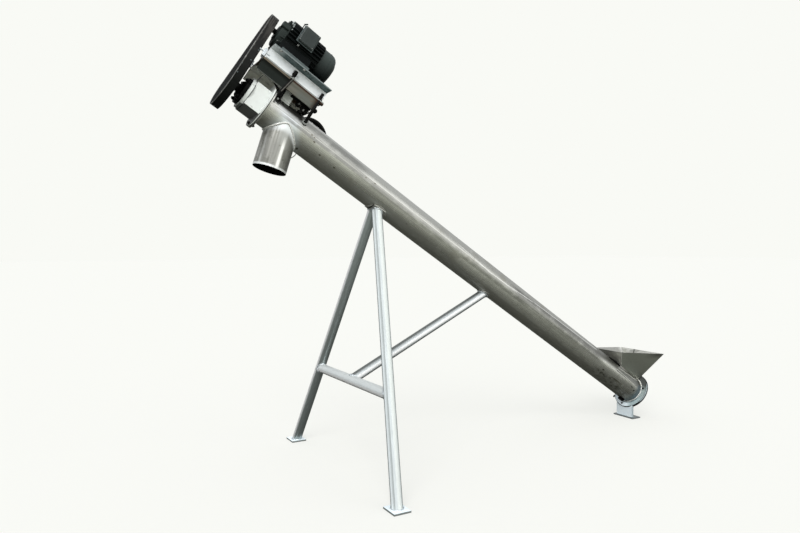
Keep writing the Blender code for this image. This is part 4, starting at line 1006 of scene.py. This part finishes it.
eye_line = on_tube((2.9355, 0.0, 0.449)) + np.outer((-0.003, 0.006, 0.015), (0.867, -0.498, 0.0))
add_piece("top_lug_and_eye", [
    box_shell((2.93, -0.011, 0.4085), (2.984, 0.011, 0.4185), 0.002), bar(eye_line, 0.0032, up=ABOVE),
    rod([(2.9355, 0.0, v) for v in (0.404, 0.428, 0.448)], 0.0024)], BOX_PAINT)

FAN_S = 2.725
grille = []
for radius in (0.014, 0.022, 0.03, 0.038, 0.046, 0.053):
    wire = circles(around(FAN_S - 0.0022, radius, turns(48), MOTOR_V), around(0.0, 1.0, turns(48)),
                   np.array([UP_TUBE]), 0.0017, 10)
    grille.append(shell(on_tube(wire), ring=True))
for angle in turns(8):
    spoke = around(FAN_S - 0.0006, np.array((0.004, 0.03, 0.055)), angle, MOTOR_V)
    grille.append(bar(on_tube(spoke), 0.0016, 8, up=UPHILL))
hub = shell(lathe(((0.0125, 0.0), (0.0125, 0.003), (0.01, 0.0045)), 28))
grille.append(copies(hub, ((FAN_S + 0.0005, 0.0, MOTOR_V), DOWN_TUBE)))
rim = shell(lathe([(0.0874 + 0.0018 * math.cos(a), 0.0018 * math.sin(a)) for a in turns(10)], 64), ring=True)
grille.append(copies(rim, *[((s, 0.0, MOTOR_V), UP_TUBE) for s in (2.8015, 2.764)]))
add_piece("fan_grille", grille, MOTOR_PAINT)
# near black, for pieces that paint shade in openings and gaps, and for a few dark marks
SHADE_AND_MARK_BLACK = make_finish(
    "shade_and_mark_black", (0.006, 0.006, 0.006), (0.004, 0.004, 0.004), 0.0, 0.9, grain_bump=0.0, specular=0.05)
# a black disc behind the grille: painted shade inside the fan cover
shadow = shell(lathe(((0.05, 0.0), (0.05, 0.0008)), 40))
add_piece("fan_opening_shade", [copies(shadow, ((FAN_S, 0.0, MOTOR_V), DOWN_TUBE))], SHADE_AND_MARK_BLACK)

# %% [markdown]
# ## Small parts of the motor and its bed
#
# Screws, the terminal box's base flange, the shim under the motor's foot, the studs' nuts, the flat
# bar and the bolts between bed and tube, a dark bar under the skirt that paints its shadow, and the
# clamp rod in front of the left skirt, with a dark strap behind it that paints its shadow.

# %% Motor and bed details
WORN_STEEL = make_finish(
    "worn_light_steel", (0.33, 0.34, 0.32), (0.22, 0.23, 0.215), 0.3, 0.5, grain=(60.0, 60.0))
screws = [((2.9233, -0.0945, 0.3), OUT_LEFT, 0.0046, 0.2)]
screws += [((s, y, 0.227), OUT_DOWN, 0.0062, spin) for y in (-0.0955, 0.0955)
           for s, spin in ((2.9708, 0.4), (2.8432, 0.9))]
screws += [(place, UP_TUBE, 0.005, 0.3) for place in around(3.003, LUG_RADIUS, LUG_TURNS, MOTOR_V)]
lid_screws = [((s, -0.1268, v), OUT_LEFT, 0.0022, 0.4) for s in (2.87, 2.935) for v in (0.316, 0.381)]
add_piece("motor_screws", [copies(BOLT, *screws), copies(SCREW, *lid_screws)], WORN_STEEL)
EDGE_STEEL = make_finish(
    "worn_edge_grey", (0.105, 0.13, 0.13), (0.065, 0.085, 0.085), 0.0, 0.45, grain=(30.0, 30.0), specular=0.3)
add_piece("motor_edge_strips", [
    *(box_shell((2.8265, side * 0.0912, 0.2345), (2.9755, side * 0.096, 0.247), 0.001) for side in (-1, 1)),
    box_shell((2.859, -0.1115, 0.305), (2.946, -0.1095, 0.392), 0.0006)], EDGE_STEEL)
add_piece("shield_blocks", [
    box_shell((2.985, -0.074, 0.335), (3.0265, -0.045, 0.363), 0.003),
    box_shell((2.933, -0.08, 0.358), (2.994, -0.05, 0.386), 0.003),
    box_shell((2.985, -0.066, 0.248), (3.008, -0.03, 0.27), 0.004)], MOTOR_PAINT)
adjusters = []
for side in (-1, 1):
    adjusters += [box_shell((3.0185, side * 0.094, 0.15), (3.033, side * 0.106, 0.188), 0.0015),
                  rod([(s, side * 0.1, 0.17) for s in (3.0, 3.02, 3.052)], 0.0032)]
add_piece("adjusting_blocks", adjusters, ZINC)

STUDS = [(s, y) for y in (0.07, -0.07) for s in (2.863, 2.708)]
washer = collar(0.0085, 0.015, -0.0007, 0.0022, 28)
stud_washers = copies(washer, *[((s, y, 0.159), OUT_UP) for s, y in STUDS])
add_piece("stud_washers", [stud_washers], WORN_STEEL)

left_rod = [(2.8632, -0.1085, 0.157), (2.869, -0.1085, 0.124), (2.8755, -0.1085, 0.088),
            (2.879, -0.108, 0.07)]
# a dark strap behind the clamp rod: painted shadow along its sides
shadow_strap = [(s + 0.001, y + 0.0028, v) for s, y, v in left_rod]
lower_cluster = [(2.8755, -0.105, 0.086), (2.8775, -0.1, 0.07), (2.8795, -0.092, 0.054),
                 (2.8815, -0.084, 0.038)]
hanger = [(2.9391, -0.1, 0.0888), (2.923, -0.0975, 0.087), (2.905, -0.093, 0.0815), (2.893, -0.089, 0.072),
          (2.884, -0.085, 0.056), (2.8805, -0.083, 0.042)]
side_bar = [(2.869, -0.082, 0.06), (2.86, -0.0815, 0.048), (2.852, -0.081, 0.036)]
front_bar = [(2.7162, -0.11, 0.15), (2.7163, -0.1095, 0.115), (2.7163, -0.1065, 0.0875),
             (2.713, -0.092, 0.064), (2.711, -0.083, 0.05)]
stud_cap = shell(lathe(((0.0095, 0.0), (0.0105, 0.002), (0.0105, 0.022), (0.009, 0.024)), 20))
drum = shell(lathe(((0.72, -1.0), (0.98, -0.8), (1.0, 0.5), (0.8, 0.9), (0.45, 1.0)), 18))
add_piece("bed_hardware", [
    copies(collar(0.0083, 0.0135, 0.0, 0.011, 6), *[((s, y, 0.162), OUT_UP) for s, y in STUDS]),
    rod(shadow_strap, 0.0068, 12, 0.35),
    rod(lower_cluster, (0.006, 0.009, 0.0085, 0.008), 14, 0.8),
    rod(hanger, (0.003, 0.0036, 0.0042, 0.0046, 0.0046, 0.004), 12, 0.6),
    rod(side_bar, 0.0036),
    rod(front_bar, (0.005, 0.0062, 0.0075, 0.0066, 0.006), 12, 0.8),
    copies(stud_cap, ((2.863, -0.07, 0.183), OUT_UP)),
    # a dark bar under the skirt's lower edge: painted shadow there
    box_shell((2.717, -0.066, 0.1), (2.824, -0.052, 0.1095), 0.001),
    copies(drum, *[(place, OUT_LEFT, size) for place, size in (
        ((2.776, -0.052, 0.093), 0.0105), ((2.752, -0.052, 0.0905), 0.0085), ((2.73, -0.052, 0.083), 0.012),
        ((2.7285, -0.052, 0.0985), 0.007), ((2.7013, -0.085, 0.106), 0.01), ((2.7492, -0.052, 0.072), 0.011),
        ((2.79, -0.06, 0.109), 0.009))])], BLACK_IRON)

CLAMP_STEEL = make_finish(
    "clamp_steel", (0.1, 0.095, 0.08), (0.05, 0.047, 0.04), 0.2, 0.5, grain=(60.0, 60.0))
add_piece("clamp_rod", [rod(left_rod, 0.0026)], CLAMP_STEEL)
low_washers = [frame_at(on_tube((2.708, y, 0.0385)), (0, y, 0.05)) for y in (-0.0745, 0.0745)]
add_piece("bed_light_hardware", [
    rod(((2.982, -0.059, 0.056), (2.971, -0.001, 0.0975), (2.959, 0.057, 0.143)), 0.0018, 10),
    box_shell((2.8585, -0.112, 0.15), (2.87, -0.104, 0.158), 0.001),
    box_shell((2.882, -0.108, 0.15), (2.899, -0.1036, 0.158), 0.001),
    copies(drum, *[(place, OUT_LEFT, size) for place, size in (
        ((2.7745, -0.064, 0.0945), 0.0042), ((2.741, -0.056, 0.085), 0.006), ((2.87, -0.089, 0.04), 0.005),
        ((2.717, -0.062, 0.089), 0.006))]),
    repeated(washer, low_washers)], WORN_STEEL)

# %% [markdown]
# ## Guard, bearing and spout details
#
# The guard's rim is rolled: a bead follows its outline, two arcs joined by straight lines. The
# bearing at the top end has four lugs with nuts.

# %% Guard rim, guard bolts, bearing lugs and spout tab
LOW_ARC, HIGH_ARC = (0.112, -0.02), (0.0525, MOTOR_V)
RIM_IN, RIM_S = 0.0012, 3.0795
lean = math.asin((LOW_ARC[0] - HIGH_ARC[0]) / (HIGH_ARC[1] - LOW_ARC[1]))
low_turn = np.linspace(math.pi / 2 - lean, 1.5 * math.pi + lean, 60)
high_turn = np.linspace(-math.pi / 2 - lean, math.pi / 2 - lean, 40)
outline = np.vstack([around(RIM_S, r - RIM_IN, angles, v)
                     for angles, (r, v) in ((low_turn, LOW_ARC), (high_turn, HIGH_ARC))])
rim_places, _ = resampled(on_tube(outline), 0.012, True)
rim_grid = circles(rim_places, np.cross(steps_round(rim_places), UPHILL), UPHILL[None], 0.0021, 8)
GUARD_RIM = make_finish(
    "guard_worn_rim", (0.14, 0.14, 0.13), (0.05, 0.05, 0.048), 0.0, 0.4, grain=(12.0, 12.0), specular=0.4,
    stain=((0.3, 0.3, 0.28), 0.05, 0.52, 0.1, 0.8))
add_piece("guard_rim", [shell(rim_grid, ring=True)], GUARD_RIM)

# Bolts on the guard's left straight side: how far up it each one is, its s and its size
low_end, high_end = (around(0.0, r, lean - math.pi / 2, v) for r, v in (LOW_ARC, HIGH_ARC))
add_piece("guard_bolts", [copies(BOLT, *[
    (low_end * (1 - share) + high_end * share + (s, 0, 0), (0, -math.cos(lean), math.sin(lean)), size, 0.3)
    for share, s, size in ((0.05, 3.074, 0.0028), (0.2, 3.077, 0.002), (0.31, 3.054, 0.003),
                           (0.5, 3.049, 0.0036))])], EDGE_STEEL)

bearing_lug = shell(lathe(((0.015, 0.0), (0.016, 0.002), (0.016, 0.013), (0.014, 0.015)), 24))
lug_places = around(2.9935, 0.058, turns(4, math.radians(40)))
add_piece("outer_bearing_lugs", [
    copies(bearing_lug, *[(place, UP_TUBE) for place in lug_places]),
    copies(NUT, *[(place + (0.015, 0, 0), UP_TUBE, 0.0095, 0.2) for place in lug_places])],
    BLACK_IRON)
tab = ((2.6505, 0.0, -0.079), (2.6515, 0.0, -0.096), (2.6575, 0.0, -0.111), (2.668, 0.0, -0.124))
add_piece("spout_tab", [rod(tab, 0.0021, 10)], WORN_STEEL)

# %% [markdown]
# ## Low end details
#
# The hopper's near wall laps over the tube, with a weld along both edges of the lap. Its upper wall
# stops short of the tube, and a black bar in the gap paints its shadow. A dark block paints the shaded
# opening of a drain hole, a dark ring paints the shade on the end cover's rim, and a few marks are dark.

# %% Hopper seams, drain hole and marks


def on_skin(rows, out=0.0008):
    """World places for rows of (s, v) on the tube's left side, a little off the skin."""
    s, v = np.asarray(rows, float).T
    return on_tube(np.stack((s, -np.sqrt((TUBE_RADIUS + out) ** 2 - v ** 2), v), 1))


SEAM_STEEL = make_finish("seam_bead", (0.7, 0.7, 0.65), (0.55, 0.55, 0.5), 0.1, 0.5, grain=(30.0, 30.0))
wall_corner = np.array(((-0.1845, -0.1172, 0.437), (-0.158, -0.0925, 0.394), (-0.132, -0.0685, 0.351)))
add_piece("hopper_seams", [
    rod(((2.2064, -0.052, -0.0668), (2.17, -0.0535, -0.0656), (2.1352, -0.0555, -0.0639)), 0.0017, 10),
    bead(on_skin(((0.286, 0.026), (0.19, 0.02), (0.1, 0.013))), 0.0024, seed=50),
    bead(on_skin(((0.268, 0.042), (0.17, 0.0465), (0.07, 0.0515))), 0.0024, seed=51),
    bead(wall_corner, 0.0014, seed=52)], SEAM_STEEL)
plug = shell(lathe(((0.75, -0.2), (1.0, 0.0), (0.8, 0.12)), 16))
add_piece("gap_shadow_and_marks", [
    # a black bar in the gap under the upper wall: painted shadow
    bar(on_skin(((0.349, 0.0695), (0.3, 0.0668), (0.246, 0.0645)), 0.0014), (0.003, 0.0075, 0.006)),
    # a dark block: painted shade for the drain hole's opening
    box_shell((0.045, -0.01, -0.0945), (0.085, 0.01, -0.079), 0.002),
    rod(((2.2064, 0.0045, -0.0852), (2.207, -0.026, -0.0806), (2.2066, -0.05, -0.0684)), 0.0024, 10),
    box_shell((0.0205, 0.0925, -0.0745), (0.0235, 0.1045, -0.06), 0.001),
    copies(plug, *[((s, y, v), (0.0, y, v), size) for (s, y, v), size in (
        ((0.066, 0.002, -0.079), 0.0085), ((0.074, -0.006, -0.0788), 0.007),
        ((0.107, -0.079, -0.0075), 0.0036), ((0.077, -0.0775, -0.017), 0.0044))])], SHADE_AND_MARK_BLACK)
# a dark ring round the end cover's edge: painted shade on its rim
cover_edge_shade = collar(0.1095, 0.1145, 0.003, 0.0118, 96)
add_piece("cover_edge_shade", [copies(cover_edge_shade, ((0.0, 0.0, 0.0), UP_TUBE))], SHADE_AND_MARK_BLACK)

# %% [markdown]
# ## Floor and light
#
# The floor is a plain pale sheet. Two soft suns and a bright sky light it evenly, so that it meets
# the background without a line. Metal shows what surrounds it: the photograph has a bright sky over
# dull ground, so the floor gives reflections a duller grey-green than it shows to the eye.

# %% Floor, sky and suns
PALE = (0.79, 0.79, 0.752)
# Distance to the front of the tube in metres, and how light the ground is there for reflections
GROUND = ((0.0, 0.085), (0.5, 0.13), (1.0, 0.18), (2.2, 0.3), (4.2, 0.45), (12.0, 0.8))
GROUND_END = GROUND[-1][0]
FLOOR_HALF = 60.0
FLOOR_GLOW = 0.6  # the share of its own light that the shown floor has, so that its shadows stay faint


def shaded(tree, value, stops):
    """A colour for a value from 0 to 1, by straight mixes between stops of (value, colour)."""
    item = add_node(tree, "ValToRGB", {0: value})
    elements = item.color_ramp.elements
    for place, rgb in stops:
        stop = elements[0] if place == 0.0 else elements[-1] if place == 1.0 else elements.new(place)
        stop.color = colour(*rgb)
    return item.outputs["Color"]


floor_mesh = bpy.data.meshes.new("floor")
corners = [(x * FLOOR_HALF, y * FLOOR_HALF, -0.0004) for x, y in ((-1, -1), (1, -1), (1, 1), (-1, 1))]
floor_mesh.from_pydata(corners, [], [(0, 1, 2, 3)])
floor = bpy.data.objects.new("floor", floor_mesh)
bpy.context.scene.collection.objects.link(floor)
floor_finish = bpy.data.materials.new("pale_floor")
floor_finish.use_nodes = True
tree = floor_finish.node_tree
shader = tree.nodes["Principled BSDF"]
shader.inputs["Roughness"].default_value = 1.0
shader.inputs["Specular IOR Level"].default_value = 0.0
coords = add_node(tree, "TexCoord").outputs["Object"]
ahead = math_node(tree, "DIVIDE", add_node(tree, "SeparateXYZ", {0: coords}).outputs["Y"], -GROUND_END)
ground = shaded(tree, ahead, [
    (far / GROUND_END, (light, light * 1.02, light * 0.9)) for far, light in GROUND])
seen = add_node(tree, "LightPath").outputs["Is Camera Ray"]
tree.links.new(mixed(tree, seen, ground, colour(*PALE)), shader.inputs["Base Color"])
glow = add_node(tree, "Emission", {"Color": colour(0.947, 0.952, 0.91)}).outputs[0]
share = product(tree, seen, FLOOR_GLOW)
both = add_node(tree, "MixShader", {0: share, 1: shader.outputs[0], 2: glow}).outputs[0]
tree.links.new(both, tree.nodes["Material Output"].inputs["Surface"])
floor_mesh.materials.append(floor_finish)

world = bpy.data.worlds.new("studio")
bpy.context.scene.world = world
world.use_nodes = True
tree = world.node_tree
tree.nodes.clear()
direction = add_node(tree, "TexCoord").outputs["Generated"]
height = add_node(tree, "SeparateXYZ", {0: direction}).outputs["Z"]
sky = shaded(tree, ranged(tree, height, -1.0, 1.0), (
    (0.0, (0.12, 0.125, 0.11)), (1.0, (1.15, 1.17, 1.2)), (0.5, (0.5, 0.51, 0.5)), (0.67, (0.62, 0.63, 0.64)),
    (0.85, (0.8, 0.82, 0.84))))
seen = add_node(tree, "LightPath").outputs["Is Camera Ray"]
shown = mixed(tree, seen, sky, colour(0.947, 0.956, 0.915))
background = add_node(tree, "Background", {"Color": shown, "Strength": 1.0})
tree.links.new(background.outputs[0], add_node(tree, "OutputWorld").inputs["Surface"])

for name, angles, strength, angle in (
    ("key_sun", (53.0, 0.0, -39.0), 1.8, 40.0),
    ("fill_sun", (72.7, 0.0, 35.0), 0.45, 50.0),
):
    sun_data = bpy.data.lights.new(name, "SUN")
    sun_data.energy = strength
    sun_data.angle = math.radians(angle)
    sun = bpy.data.objects.new(name, sun_data)
    sun.rotation_euler = [math.radians(a) for a in angles]
    bpy.context.scene.collection.objects.link(sun)
bpy.context.scene.view_settings.view_transform = "Standard"
